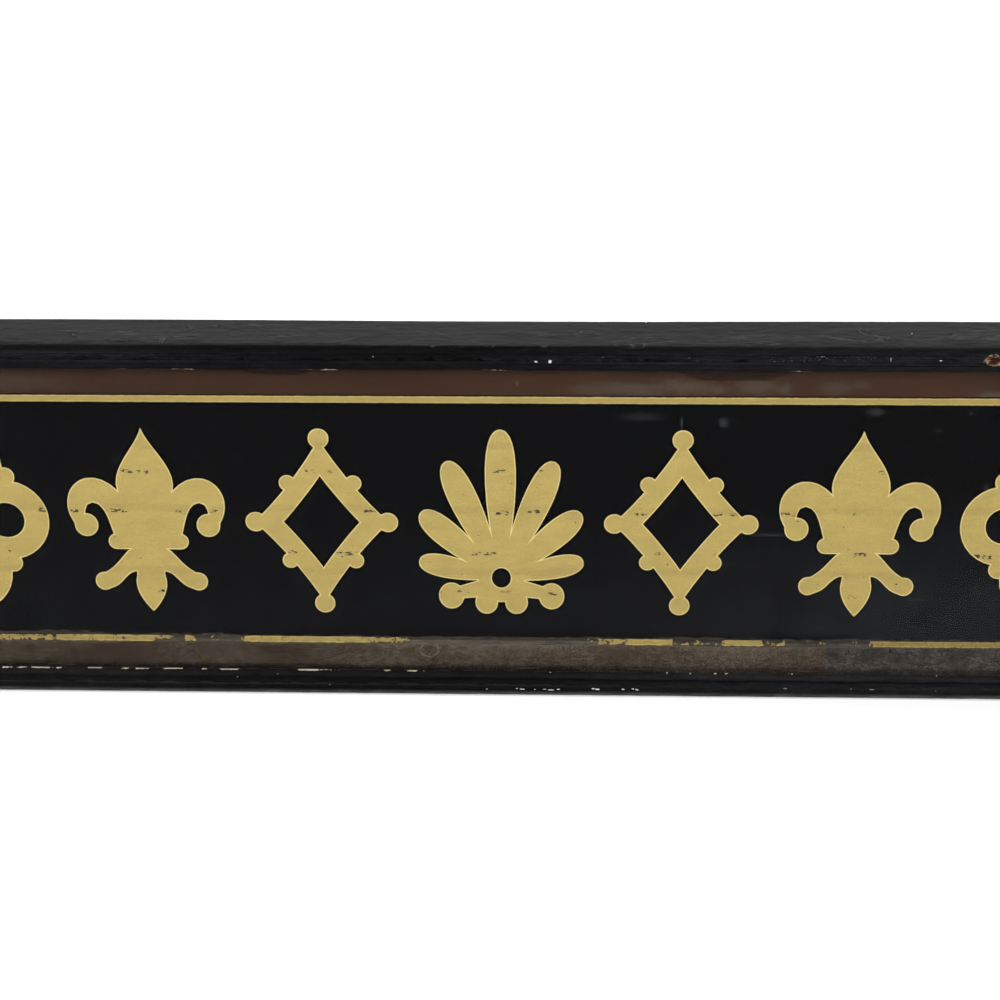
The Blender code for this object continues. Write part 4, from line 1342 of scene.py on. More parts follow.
class GroundValues(bpy.types.PropertyGroup):
    """Paint behind the glass."""

    black: colour_value("Spilt black", "Frame paint that runs onto the glass", (0.01, 0.009, 0.009))
    ground_black: colour_value("Ground black", "Black ground, clean", (0.0022, 0.0022, 0.0024))
    # The ground haze is a painted reflection on the black ground.
    ground_reflection: colour_value("Ground haze", "Black ground, hazed", (0.0125, 0.013, 0.015))
    brown: colour_value("Brown", "Upper border", (0.045, 0.023, 0.0145))
    red_brown: colour_value("Red brown", "Warmer patches of the upper border", (0.054, 0.026, 0.015))
    brown_haze: colour_value("Brown haze", "Haze on the upper border", (0.125, 0.104, 0.082))
    haze_strength: share_value("Haze strength", "Strength of the haze on the upper border", 0.78)
    stained_brown: colour_value("Stained brown", "Lower border, browner places", (0.036, 0.024, 0.0165))
    grey_brown: colour_value("Grey brown", "Lower border, greyer places", (0.066, 0.051, 0.037))
    grey_stain: colour_value("Grey stain", "Lower border, grey end", (0.028, 0.0245, 0.0215))
    mauve_flake: colour_value(
        "Mauve flake", "Frilled flakes on the lower border's grey end", (0.14, 0.118, 0.112))
    pale_curl: colour_value("Pale curl", "Curled and scratched paint", (0.22, 0.19, 0.155))
    foot_dust: colour_value("Foot dust", "Dirt along the lower gilt line", (0.04, 0.033, 0.026))
    pale_dust: colour_value("Pale dust", "Streaks of dirt where the gilt line is lost", (0.15, 0.126, 0.102))
    ring_middle: bpy.props.FloatVectorProperty(
        name="Ring middle", description="Middle of the water ring", subtype="TRANSLATION",
        default=(-0.085, GROUND_LOW.y, 0.0526),
    )
    ring_radius: length_value("Ring radius", "Radius of the water ring", 0.0108, 0.002)
    stain_start: length_value("Stain start", "Where the greyer end of the lower border starts", 0.3785)
    spill_middle: length_value("Spill middle", "Middle of the black run on the upper border", 0.262)


class BackValues(bpy.types.PropertyGroup):
    """Unpainted wood behind the glass."""

    early_wood: colour_value("Early wood", "Pale part of the grain", (0.36, 0.24, 0.135))
    late_wood: colour_value("Late wood", "Dark part of the grain", (0.21, 0.115, 0.055))
    knot: colour_value("Knot", "Colour of the knots", (0.085, 0.042, 0.022))
    grime: colour_value("Grime", "Dust and soot on the wood", (0.11, 0.088, 0.066))
    wood_edge: length_value("Worn edge", "Rounding of the wood's arrises", 0.0008, 0.0001, 0.004)
    screw_head: length_value("Screw head", "Diameter of the batten screws' heads", 0.0088, 0.004, 0.02)
    nail_head: length_value("Nail head", "Diameter of the nails' heads", 0.0058, 0.002, 0.02)


class StageValues(bpy.types.PropertyGroup):
    """Camera, floor and lamps."""

    view_azimuth: angle_value(
        "Azimuth", "How far the camera stands to the right of square on", math.radians(2.5))
    view_elevation: angle_value("Elevation", "How far the camera looks down", math.radians(22.6))
    view_roll: angle_value("Roll", "Turn of the camera about its own axis", math.radians(-0.609))
    view_distance: length_value("Distance", "From the camera to the middle of the picture", 2.5, 0.5)
    view_height: length_value("Height", "Height of the middle of the picture on the sign's face", 0.25)
    lens: plain_value("Lens", "Focal length on a 36 mm sensor", 79.46, 10)
    lamp_level: plain_value("Lamp level", "Strength of the lamps", 0.9)
    room_level: plain_value("Room level", "Strength of the light from all round", 0.42)
    floor_colour: colour_value("Floor colour", "Pale floor", (0.86, 0.86, 0.87))
    floor_lift: plain_value("Floor lift", "How far the camera sees the floor lifted to white", 0.32, 0, 1)


class SIGN_OT_stage(bpy.types.Operator):
    """Set the camera, the floor, the room and the lamps"""

    bl_idname = "sign.stage"
    bl_label = "Stage"

    def execute(self, context):
        values = context.scene.sign_stage
        context.scene.view_settings.view_transform = "Standard"
        place_camera(context, values)
        lay_floor(values)
        light_room(context, values)
        hang_lamps(values)
        return {"FINISHED"}


def place_camera(context, values):
    """Places the camera as the photograph was taken."""
    azimuth = values.view_azimuth
    elevation = values.view_elevation
    roll = values.view_roll
    back = Vector((
        math.sin(azimuth) * math.cos(elevation),
        -math.cos(azimuth) * math.cos(elevation),
        math.sin(elevation),
    ))
    right = Vector((math.cos(azimuth), math.sin(azimuth), 0))
    top = back.cross(right)
    rolled_right = right * math.cos(roll) + top * math.sin(roll)
    rolled_top = top * math.cos(roll) - right * math.sin(roll)
    put_down()
    bpy.ops.object.camera_add()
    camera = context.active_object
    camera.name = "photo_camera"
    turn = Matrix((rolled_right, rolled_top, back)).transposed().to_4x4()
    target = Vector((0, FRONT_Y, values.view_height))
    camera.matrix_world = Matrix.Translation(target + back * values.view_distance) @ turn
    camera.data.sensor_width = 36
    camera.data.lens = values.lens
    camera.data.clip_end = 60
    context.scene.camera = camera


def lay_floor(values):
    """A wide pale floor. The camera sees it lifted to white, apart from the sign's shadow."""
    floor = add_shape("floor", bpy.ops.mesh.primitive_plane_add, size=30, location=(0, 0, -0.0004))
    place = start_material("pale_floor")
    diffuse = place_node("BsdfDiffuse", {"Color": values.floor_colour})
    path = place_node("LightPath").outputs
    seen = most(path["Is Camera Ray"], path["Is Transmission Ray"])
    seen *= spread(far(place), 1.2, 6, values.floor_lift, 1)
    lifted = place_node("Emission", {"Color": (1, 1, 1), "Strength": seen})
    coat(floor, show(place_node("AddShader", {0: diffuse.outputs[0], 1: lifted.outputs[0]})))


def light_room(context, values):
    """Even light from all round, and white behind the sign."""
    world = bpy.data.worlds.new("white_room")
    context.scene.world = world
    clear_bench(world, "World")
    path = place_node("LightPath").outputs
    seen = most(path["Is Camera Ray"], path["Is Transmission Ray"])
    seen = most(seen, path["Is Glossy Ray"])
    strength = values.room_level + seen * (1 - values.room_level)
    show(place_node("Background", {"Color": (1, 1, 1), "Strength": strength}))


def hang_lamps(values):
    """Wide soft boxes: one high in front, one overhead and one high behind."""
    for name, place, aim, size, power in (
        ("front_softbox", (-0.5, -3.2, 2.6), (0, 0, 0.2), (5, 2), 105),
        ("overhead_softbox", (0.3, -0.2, 3), (0, 0, 0), (5, 2), 70),
        ("back_softbox", (0, 3.2, 2.4), (0, 0, 0.2), (5, 2), 60),
    ):
        put_down()
        bpy.ops.object.light_add(type="AREA", location=place)
        lamp = bpy.context.active_object
        lamp.name = name
        lamp.data.shape = "RECTANGLE"
        lamp.data.size, lamp.data.size_y = size
        lamp.data.energy = power * values.lamp_level
        lamp.rotation_mode = "QUATERNION"
        lamp.rotation_quaternion = (Vector(aim) - Vector(place)).to_track_quat("-Z", "Y")


class SIGN_OT_frame_boards(bpy.types.Operator):
    """Model the four painted boards of the tray frame"""

    bl_idname = "sign.frame_boards"
    bl_label = "Frame Boards"

    def execute(self, context):
        values = context.scene.sign_frame
        black = black_frame_paint("black_board_paint", values)
        inside = old_pine("bare_board_inside", context.scene.sign_back)
        inside_upright = old_pine("bare_end_inside", context.scene.sign_back, upright=True)
        for side in ("top", "bottom"):
            board = long_board(side, values)
            coat(board, black, inside)
            bare_inside(board, lambda middle: INNER_BOTTOM - CLOSE < middle.z < INNER_TOP + CLOSE)
            hand_over(board, "black_paint", side + "_board")
        for side in ("left", "right"):
            board = end_board(side, values)
            coat(board, black, inside_upright)
            bare_inside(board, lambda middle: abs(middle.x) < INNER_X + CLOSE)
            hand_over(board, "black_paint", side + "_end_board")
        return {"FINISHED"}


def bare_inside(board, is_inner):
    """The faces behind the back boards are unpainted."""
    for face in board.data.polygons:
        if face.center.y > BACK_BOARD_HIGH.y + 0.002 and is_inner(face.center):
            if abs(face.normal.y) < 0.7:
                face.material_index = 1


def long_board(side, values):
    """The top or the bottom board, cut fine enough for its paint and weathered."""
    board = copy_of_node(side + "_board", side + "_board_painted")
    for place in (-INNER_X, INNER_X):
        cut_across(board, ALONG, place)
    divide_edges(board, long_edge(ALONG, 1), 30)
    divide_run(board, ALONG, 38)
    if side == "bottom":
        cut_across(board, UP, INNER_BOTTOM - 0.003)
    outer_z = TOP_Z if side == "top" else 0
    rows = 36 if side == "top" else 12
    reaches_back = long_edge(OUT)
    divide_edges(
        board,
        lambda edge: reaches_back(edge) and all(abs(end.co.z - outer_z) < CLOSE for end in edge.verts),
        rows,
    )
    divide_run(board, OUT, 10)
    weather_board(board, outer_z, values)
    mark_board(board, side)
    shade_round(board, math.radians(78))
    return board


def weather_board(board, outer_z, values):
    """Rounds the nose and makes the painted faces uneven, inwards only, away from ends and joints."""
    on_top = outer_z == TOP_Z
    sign = 1 if on_top else -1
    amount = values.paint_relief * (1 if on_top else 0.3)
    for vertex in board.data.vertices:
        place = vertex.co.copy()
        outer = ease(0.02, 0.004, abs(place.z - outer_z))
        front = ease(FRONT_Y + 0.01, FRONT_Y + 0.002, place.y)
        rear = ease(REAR_Y - 0.012, REAR_Y - 0.002, place.y)
        end = 1 - ease(INNER_X - 0.01, INNER_X, abs(place.x))
        wave = clamp(0.5 + 0.7 * grain((place.x, 0, 0), (0.16, 1, 1), 3, 2))
        lumps = clamp(0.5 + 0.8 * grain(place, (0.03, 0.01, 0.01), 3, 5))
        small = clamp(0.5 + 0.8 * grain(place, (0.009, 0.004, 0.004), 2, 9))
        sunk = amount * (0.45 * lumps + 0.25 * small) * (1 - 0.7 * rear)
        if on_top:
            sunk += nose_drop(place, values.nose_round) * (0.75 + 0.5 * wave)
            sunk += along_knots(REAR_SAG, place.x) * ease(FRONT_Y, REAR_Y, place.y)
        vertex.co.z = place.z - sign * outer * sunk * end
        pushed = fill_quirk(place, values) if on_top else soften_arris(place)
        vertex.co.y = pushed + (place.y - pushed) * (1 - end) + front * end * (
            0.0003 + amount * (0.35 * lumps + 0.25 * wave))
    board.data.update()


def nose_reach(along):
    """How far back the bare nose reaches at a place along the sign."""
    uneven = grain((along, 0, 0), (0.04, 1, 1), 4, 14)
    return along_knots(NOSE_REACH, along) * clamp(1 + uneven, 0.35, 1.8)


def nose_drop(place, amount):
    """How much lower the worn nose lies, from where its rounding begins."""
    reach = 0.006 + nose_reach(place.x)
    back = (place.y - FRONT_Y) / reach
    return amount * clamp(1 - back) ** 2


def rumple(along, height, values):
    """How far the skin of old paint on the run moulding lies back or forward at a place."""
    return values.rumple * grain((along, 0, height), (0.02, 1, 0.004), 3, 12)


def fill_quirk(place, values):
    """Old paint fills the grooves of the front: a point in one comes forward to a rumpled skin."""
    if place.y > FRONT_Y + 0.01:
        return place.y
    thick = 0.0008 * ease(0.36, 0.42, place.x)
    skin = max(FRONT_Y + 0.0002, FRONT_Y + 0.0014 - thick + rumple(place.x, place.z, values))
    if place.y < skin:
        return place.y
    return place.y + (skin - place.y) * values.quirk_fill


def soften_arris(place):
    """The front arris of the bottom board is rounded under its moulding."""
    near_joint = ease(INNER_BOTTOM - 0.0031, INNER_BOTTOM, place.z)
    near_front = ease(FRONT_Y + 0.004, FRONT_Y + 0.001, place.y)
    return place.y + 0.0016 * near_joint * near_front


def bridge_joint(place, values):
    """A groove point of a level moulding, moved to the paint skin that runs up onto its board."""
    joint_z = INNER_TOP if place.z > MIDDLE_Z else INNER_BOTTOM
    towards_board = math.copysign(1, joint_z - MIDDLE_Z)
    beside = ease(0.004, 0.0016, abs(place.z - joint_z))
    skin = FRONT_Y + 0.0012 + beside * (0.0003 + rumple(place.x, joint_z, values))
    skin = max(FRONT_Y + 0.0002, skin)
    if abs(place.z - joint_z) > 0.001:
        return min(place.y, skin), place.z
    return skin + 0.0002, place.z + towards_board * values.paint_bridge


def mark_board(board, side):
    """Marks the dust, the blisters, the folds, the worn rear arris and one chip down to the wood."""
    top = side == "top"

    def dusty(place):
        """Dust fades out over the nose of the top board."""
        if not top:
            return 1
        reach = nose_reach(place.x)
        return ease(reach * 0.25, reach * 1.9 + 0.001, place.y - FRONT_Y)

    def wood(place):
        """Bare wood shows along the rear edge of the top board and in the one chip."""
        if not top:
            return 0
        rear = ease(REAR_Y - 0.0034, REAR_Y - 0.001, place.y) * ease(
            TOP_Z - 0.003, TOP_Z - 0.0012, place.z)
        worn = max(0.75 * along_edge(place.x, start, end) for start, end in REAR_WEAR)
        return max(rear * worn, bare_chip(place))

    mark_points(
        board, dusty=dusty, wood=wood, lifted=blistered if top else 0,
        wrinkled=folded if top else 0.06, shed=0, core=chip_core,
    )


def from_chip(place):
    """How far a place lies from the middle of the one chip down to the wood, in its own reach."""
    return math.hypot((place.x - CHIP_X) / 0.013, (place.z - CHIP_Z) / 0.008)


def bare_chip(place):
    """How bare the wood is within the chip, at the front."""
    front = ease(FRONT_Y + 0.01, FRONT_Y + 0.006, place.y)
    return (1 - ease(0.55, 1.2, from_chip(place))) * front


def chip_core(place):
    """The dark middle of the chip."""
    return 1 - ease(0.25, 0.85, from_chip(place))


def blistered(place):
    """How far the paint has lifted at a place on the top board."""
    if place.z < TOP_Z - 0.004:
        return 0
    back = place.y - FRONT_Y
    thin = clamp(0.5 + grain(place, (0.05, 0.02, 1), 2, 31)) * ease(0.008, 0.016, back)
    best = 0.45 * thin * (1 - ease(0.05, 0.08, back))
    for middle, depth, half_length, half_depth in BLISTERS:
        across = math.hypot((place.x - middle) / half_length, (back - depth) / half_depth)
        best = max(best, 1 - ease(0.55, 1.25, across))
    return best


def folded(place):
    """How rumpled the paint is at the front of the top board, and down onto its moulding."""
    if place.y > FRONT_Y + 0.012 or place.z > TOP_Z - 0.003:
        return 0
    bead = ease(0.4188, 0.42, place.z) * (1 - ease(0.4232, 0.4242, place.z))
    left = 1 - ease(-0.42, -0.3, place.x)
    flat_foot = 0.411 + 0.003 * left
    flat = ease(flat_foot - 0.0015, flat_foot + 0.0015, place.z) * (1 - ease(0.419, 0.42, place.z))
    quirk = ease(0.422, 0.423, place.z) * (1 - ease(0.4246, 0.4264, place.z))
    return max(bead * along_knots(BEAD_FOLDS, place.x), flat * along_knots(FLAT_FOLDS, place.x),
               0.8 * left * quirk)


def end_board(side, values):
    """The left or the right end board."""
    board = copy_of_node(side + "_end_board", side + "_end_board_painted")
    divide_run(board, UP, 20, 6)
    divide_run(board, OUT, 24)
    outer_x = SIGN_HIGH.x if side == "right" else SIGN_LOW.x
    mesh = board.data
    sign = math.copysign(1, outer_x)
    low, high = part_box(side + "_end_board")
    for vertex in mesh.vertices:
        place = vertex.co.copy()
        outer = ease(0.012, 0.003, abs(place.x - outer_x))
        front = ease(FRONT_Y + 0.01, FRONT_Y + 0.002, place.y)
        end = ease(low.z, low.z + 0.01, place.z) * ease(high.z, high.z - 0.01, place.z)
        lumps = clamp(0.5 + 0.8 * grain(place, (0.01, 0.01, 0.03), 3, 5))
        vertex.co.x = place.x - sign * outer * end * values.paint_relief * 0.7 * lumps
        vertex.co.y = place.y + front * end * values.paint_relief * 0.6 * lumps
    mesh.update()
    mark_points(board, dusty=1, wrinkled=0.25)
    shade_round(board, math.radians(50))
    return board


class SIGN_OT_mouldings(bpy.types.Operator):
    """Model the four glazing mouldings under their thick, chipped paint"""

    bl_idname = "sign.mouldings"
    bl_label = "Glazing Mouldings"

    def execute(self, context):
        values = context.scene.sign_frame
        black = black_frame_paint("black_moulding_paint", values)
        for side in SIDES:
            moulding = painted_moulding(side, values)
            coat(moulding, black)
            hand_over(moulding, "black_paint", side + "_moulding")
        return {"FINISHED"}


def painted_moulding(side, values):
    """One glazing moulding, cut fine enough for its paint, chipped and weathered."""
    moulding = copy_of_node(side + "_moulding", side + "_moulding_painted")
    level = side in ("top", "bottom")
    direction = ALONG if level else UP
    cut_across(moulding, OUT, -(FRONT_Y + (0.0063 if side == "top" else 0.0078)))
    divide_run(moulding, direction, *((30, 46) if level else (20, 10)))
    chips, reach = {
        "top": (UPPER_CHIPS, 0.0021), "bottom": (LOWER_CHIPS, 0.0006)}.get(side, ((), 0.001))
    sight = SIGHT_TOP if side == "top" else SIGHT_BOTTOM
    mark_points(moulding, shed=chipped(chips, sight, reach))
    weather_moulding(moulding, direction, values)
    if side == "top":
        mark_points(moulding, wood=bare_chip, core=chip_core, wrinkled=lambda place: max(folded(place), 0.2))
    else:
        mark_points(moulding, wood=0, core=chip_core, wrinkled=0.1)
    mark_points(moulding, dusty=0)
    shade_round(moulding, math.radians(50))
    return moulding


def weather_moulding(moulding, direction, values):
    """Lumps of old paint along a moulding, within its true size, with its quirk nearly filled."""
    mesh = moulding.data
    normals = [vertex.normal.copy() for vertex in mesh.vertices]
    back = MOULD_HIGH.y - 0.0004
    for vertex, normal in zip(mesh.vertices, normals):
        if place_is_sill(vertex.co):
            vertex.co.z += values.sill_build * (0.8 + 0.5 * grain(vertex.co, (0.05, 1, 1), 2, 8))
        worn = ease(SIGHT_TOP + 0.006, SIGHT_TOP, vertex.co.z) * (vertex.co.z > MIDDLE_Z)
        vertex.co.z += values.sight_wear * worn * (
            0.8 + 0.9 * grain((vertex.co.x, 0, 0), (0.07, 1, 1), 2, 4))
        place = vertex.co.copy()
        if place.y > back:
            continue
        lumps = clamp(0.5 + 0.8 * grain(place, (0.014, 0.006, 0.006), 3, 5))
        long_wave = clamp(0.5 + 0.8 * grain(place, (0.12, 0.05, 0.05), 2, 1))
        sunk = values.moulding_relief * (0.65 * lumps + 0.35 * long_wave)
        vertex.co = place - normal * sunk
        if direction == ALONG and outside_of_bead(place):
            vertex.co.y, vertex.co.z = bridge_joint(place, values)
    mesh.update()


def place_is_sill(place):
    """Whether a point lies on the sight edge of the bottom moulding, where paint has built up."""
    return SIGHT_BOTTOM - 0.0008 < place.z < SIGHT_BOTTOM + 0.0001 and abs(place.x) < INNER_X - 0.014


def outside_of_bead(place):
    """Whether a point of a level moulding lies in the groove between its bead and its board."""
    near_board = min(abs(place.z - INNER_TOP), abs(place.z - INNER_BOTTOM)) < 0.0038
    return near_board and place.y > FRONT_Y + 0.0013


class SIGN_OT_putty(bpy.types.Operator):
    """Model the bedding putty that squeezes out along the sight edges"""

    bl_idname = "sign.putty"
    bl_label = "Bedding Putty"

    def execute(self, context):
        finish = bedding_putty("dry_bedding_putty", context.scene.sign_frame)
        for side in SIDES:
            putty = squeezed_putty(side)
            coat(putty, finish)
            hand_over(putty, "putty", side + "_putty")
        return {"FINISHED"}


def squeezed_putty(side):
    """A bed of putty whose inner edge wanders just past the sight edge."""
    putty = copy_of_node(side + "_putty", side + "_putty_bed")
    level = side in ("top", "bottom")
    direction = ALONG if level else UP
    divide_run(putty, direction, *((30, 28) if level else (20, 6)))
    inwards = {
        "top": Vector((0, 0, -1)), "bottom": Vector((0, 0, 1)),
        "left": Vector((1, 0, 0)), "right": Vector((-1, 0, 0)),
    }[side]
    low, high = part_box(side + "_putty")
    inner = max(Vector(corner).dot(inwards) for corner in (low, high))
    for vertex in putty.data.vertices:
        if vertex.co.dot(inwards) > inner - 0.0015:
            push = 0.0008 + 0.0012 * grain(vertex.co, (0.016, 0.5, 0.5) if level else (
                0.5, 0.5, 0.016), 3, 3)
            vertex.co += inwards * clamp(push, 0, 0.0022)
    putty.data.update()
    shade_round(putty, math.radians(50))
    return putty


class SIGN_OT_glass_pane(bpy.types.Operator):
    """Finish the plate glass pane"""

    bl_idname = "sign.glass_pane"
    bl_label = "Glass Pane"

    def execute(self, context):
        coat_node("glass_pane", plate_glass("old_plate_glass", context.scene.sign_glass))
        return {"FINISHED"}


def coat_node(node, material):
    """Gives a node that stays its finish."""
    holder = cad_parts[node]
    if not holder.material_slots:
        holder.data.materials.append(material)
    for held in holder.material_slots:
        held.material = material


class SIGN_OT_ornaments(bpy.types.Operator):
    """Model the row of gilt ornaments with their burnished outlines"""

    bl_idname = "sign.ornaments"
    bl_label = "Gilt Ornaments"

    def execute(self, context):
        values = context.scene.sign_gilding
        matt = gold_leaf("matt_gold_leaf", values)
        bright = gold_leaf("burnished_gold_leaf", values, burnished=True)
        for node in ORNAMENTS:
            ornament = outlined_ornament(node, values.outline)
            coat(ornament, matt, bright)
            mark_outline(ornament)
            hand_over(ornament, "gold_leaf", node)
        return {"FINISHED"}


def outlined_ornament(node, width):
    """A gilt shape whose face is inset, so that its outline is a rim of its own."""
    ornament = copy_of_node(node, node + "_leaf")
    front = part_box(node)[0].y
    edit_selected(
        ornament, "FACE",
        lambda face: face.normal.y < -0.9 and abs(face.calc_center_median().y - front) < CLOSE,
        lambda: bpy.ops.mesh.inset(thickness=width, depth=-0.00004, use_even_offset=True),
    )
    return ornament


def mark_outline(ornament):
    """The rim around the sunk face is burnished, and so are the edges of the leaf."""
    front = min(vertex.co.y for vertex in ornament.data.vertices)
    for face in ornament.data.polygons:
        sunk = all(ornament.data.vertices[index].co.y > front + 0.00002 for index in face.vertices)
        if face.normal.y > -0.5 or not sunk:
            face.material_index = 1


class SIGN_OT_gilt_lines(bpy.types.Operator):
    """Model the ruled gilt lines, the lower one broken where its leaf is lost"""

    bl_idname = "sign.gilt_lines"
    bl_label = "Gilt Lines"

    def execute(self, context):
        values = context.scene.sign_gilding
        half = (TOP_LINE_HIGH.z - TOP_LINE_LOW.z) / 2
        top_middle = (TOP_LINE_HIGH.z + TOP_LINE_LOW.z) / 2
        bottom_middle = (BOTTOM_LINE_HIGH.z + BOTTOM_LINE_LOW.z) / 2
        side_middle = -(LEFT_LINE_HIGH.x + LEFT_LINE_LOW.x) / 2
        coat_node("top_gilt_line", ruled_leaf("top_line_leaf", values, top_middle, half, True, False))
        side_leaf = ruled_leaf("side_line_leaf", values, side_middle, half, False, True)
        coat_node("left_gilt_line", side_leaf)
        coat_node("right_gilt_line", side_leaf)
        line = broken_line(values.leaf_cell)
        coat(line, ruled_leaf("worn_line_leaf", values, bottom_middle, half, True, True))
        hand_over(line, "gold_leaf", "bottom_gilt_line")
        return {"FINISHED"}


def broken_line(cell):
    """The lower gilt line, laid as a fine net whose lost flakes are deleted."""
    put_down()
    low, high = BOTTOM_LINE_LOW, BOTTOM_LINE_HIGH
    middle = (low + high) / 2
    columns = round((high.x - low.x) / (cell * 1.25))
    rows = round((high.z - low.z) / cell)
    bpy.ops.mesh.primitive_grid_add(
        x_subdivisions=columns, y_subdivisions=rows, size=1,
        location=(middle.x, low.y, middle.z), rotation=(math.radians(90), 0, 0),
    )
    line = name_piece(bpy.context.active_object, "bottom_gilt_line_worn")
    line.scale = (high.x - low.x, high.z - low.z, 1)
    settle(line)
    jitter = random.Random(11)
    for vertex in line.data.vertices:
        inner = low.z + cell / 2 < vertex.co.z < high.z - cell / 2
        reach = 0.38 * cell
        vertex.co.x += jitter.uniform(-reach, reach)
        vertex.co.z += jitter.uniform(-reach, reach) if inner else 0
    edit_selected(
        line, "FACE", lambda face: leaf_is_lost(face.calc_center_median()),
        lambda: bpy.ops.mesh.delete(type="FACE"),
    )
    trim_line(line, low, high)
    thick = line.modifiers.new("Leaf", "SOLIDIFY")
    thick.thickness = high.y - low.y
    thick.offset = -1
    apply_all(line)
    return line


def trim_line(line, low, high):
    """Cuts the two ends of the line to their mitres and drops loose points."""

    def mitre(side):
        """Cuts one end of the strip at 45 degrees."""
        corner = (side * high.x, 0, low.z)
        bpy.ops.mesh.bisect(plane_co=corner, plane_no=(side, 0, 1), clear_outer=True)

    edit_whole(line, lambda: mitre(-1), lambda: mitre(1), bpy.ops.mesh.delete_loose)


def leaf_is_lost(place):
    """Whether a flake at this place has come away."""
    loss = along_knots(LEAF_LOSS, place.x)
    if loss > 0.99:
        return True
    if place.z > BOTTOM_LINE_HIGH.z - 0.0008 * ease(0.1, 0.3, place.x) - 0.0003:
        loss += 0.5 * ease(0.1, 0.3, place.x)
    middle = (BOTTOM_LINE_LOW.z + BOTTOM_LINE_HIGH.z) / 2
    sway = 0.0011 * grain((place.x, 0, 0), (0.009, 1, 1), 3, 21)
    for start, end, half in HALF_LOSS:
        if start < place.x < end:
            loss += 0.55 * ease(-0.0009, 0.0009, (place.z - middle) * half + sway)
    flakes = 0.5 + 0.62 * grain(place, (0.0075, 1, 0.0042), 4, 6)
    tears = 0.5 + 0.62 * grain(place, (0.0022, 1, 0.012), 2, 1)
    edge = abs(place.z - middle)
    rim = ease(0.0022, 0.0045, edge) * 0.5
    return max(flakes, tears - 0.16) < loss + rim * min(1, loss * 4)


class SIGN_OT_painted_grounds(bpy.types.Operator):
    """Finish the black ground and the brown border behind the glass"""

    bl_idname = "sign.painted_grounds"
    bl_label = "Painted Grounds"

    def execute(self, context):
        values = context.scene.sign_ground
        coat_node("black_ground", black_ground_paint("japan_black_ground", values))
        coat_node("top_brown_border", upper_brown("upper_brown_border", values))
        coat_node("bottom_brown_border", lower_brown("lower_brown_border", values, True))
        side_brown = lower_brown("side_brown_border", values, False)
        coat_node("left_brown_border", side_brown)
        coat_node("right_brown_border", side_brown)
        return {"FINISHED"}


class SIGN_OT_backing(bpy.types.Operator):
    """Model the back boards, battens and blocks, and finish the paper behind the paint"""

    bl_idname = "sign.backing"
    bl_label = "Backing"

    def execute(self, context):
        values = context.scene.sign_back
        level = old_pine("level_pine", values)
        upright = old_pine("upright_pine", values, upright=True)
        own = random.Random(8)
        for nodes, finish, slot in (
            (BACK_BOARDS, level, "bare_wood"),
            (BATTENS, upright, "bare_wood"),
            (CORNER_BLOCKS, upright, "bare_wood"),
            (SETTING_BLOCKS, level, "hard_wood"),
        ):
            for node in nodes:
                wood = copy_of_node(node, node + "_sawn")
                roll_over(wood, values.wood_edge if slot == "bare_wood" else 0.0003)
                mark_points(wood, board=own.uniform(0, 1))
                coat(wood, finish)
                hand_over(wood, slot, node)
        coat_node("backing_paper", brown_paper("brown_backing_paper", values))
        return {"FINISHED"}


class SIGN_OT_fastenings(bpy.types.Operator):
    """Add the screws in the battens and the nails in the corner blocks"""

    bl_idname = "sign.fastenings"
    bl_label = "Fastenings"

    def execute(self, context):
        values = context.scene.sign_back
        steel = rusted_steel("rusted_fastenings")
        screws = []
        for batten in BATTENS:
            low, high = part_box(batten)
            middle = (low.x + high.x) / 2
            for board in BACK_BOARDS:
                board_low, board_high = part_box(board)
                for share in (0.25, 0.75):
                    height = board_low.z + share * (board_high.z - board_low.z)
                    shift = 0.012 if share < 0.5 else -0.012
                    screws.append(Vector((middle + shift, high.y, height)))
        screw = slotted_screw("batten_screw", values.screw_head)
        coat(screw, steel)
        spread_copies(screw, screws, "batten_screws")
        nail = nail_head("block_nail", values.nail_head)
        coat(nail, steel)
        spread_copies(nail, block_nails(), "block_nails")
        return {"FINISHED"}


def slotted_screw(name, width):
    """A countersunk screw's head with its slot, facing the rear."""
    cylinder = bpy.ops.mesh.primitive_cylinder_add
    head = add_shape(name, cylinder, vertices=20, radius=width / 2, depth=0.0022)
    edit_selected(
        head, "FACE", lambda face: face.normal.z < -0.9,
        lambda: bpy.ops.transform.resize(value=(0.45, 0.45, 1)),
    )
    edit_selected(
        head, "FACE", lambda face: face.normal.z > 0.9,
        lambda: bpy.ops.mesh.inset(thickness=width * 0.1),
        lambda: bpy.ops.transform.translate(value=(0, 0, width * 0.045)),
    )
    low = Vector((-width, -0.0006, -0.0002))
    high = Vector((width, 0.0006, 0.01))
    slot = add_shape(
        "slot_cutter", bpy.ops.mesh.primitive_cube_add,
        size=1, location=(low + high) / 2, scale=high - low,
    )
    cut = head.modifiers.new("Slot", "BOOLEAN")
    cut.operation = "DIFFERENCE"
    cut.object = slot
    apply_all(head)
    bpy.data.objects.remove(slot, do_unlink=True)
    return head


def nail_head(name, width):
    """A round wire nail's head, a little domed."""
    cylinder = bpy.ops.mesh.primitive_cylinder_add
    head = add_shape(name, cylinder, vertices=16, radius=width / 2, depth=0.002)
    roll_over(head, width * 0.12)
    return head


def block_nails():
    """Two nails in the rear face of each corner block."""
    places = []
    for block_node in CORNER_BLOCKS:
        low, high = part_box(block_node)
        for share in (0.28, 0.74):
            across = low.x + (high.x - low.x) * (0.42 if share < 0.5 else 0.61)
            places.append(Vector((across, high.y, low.z + (high.z - low.z) * share)))
    return places


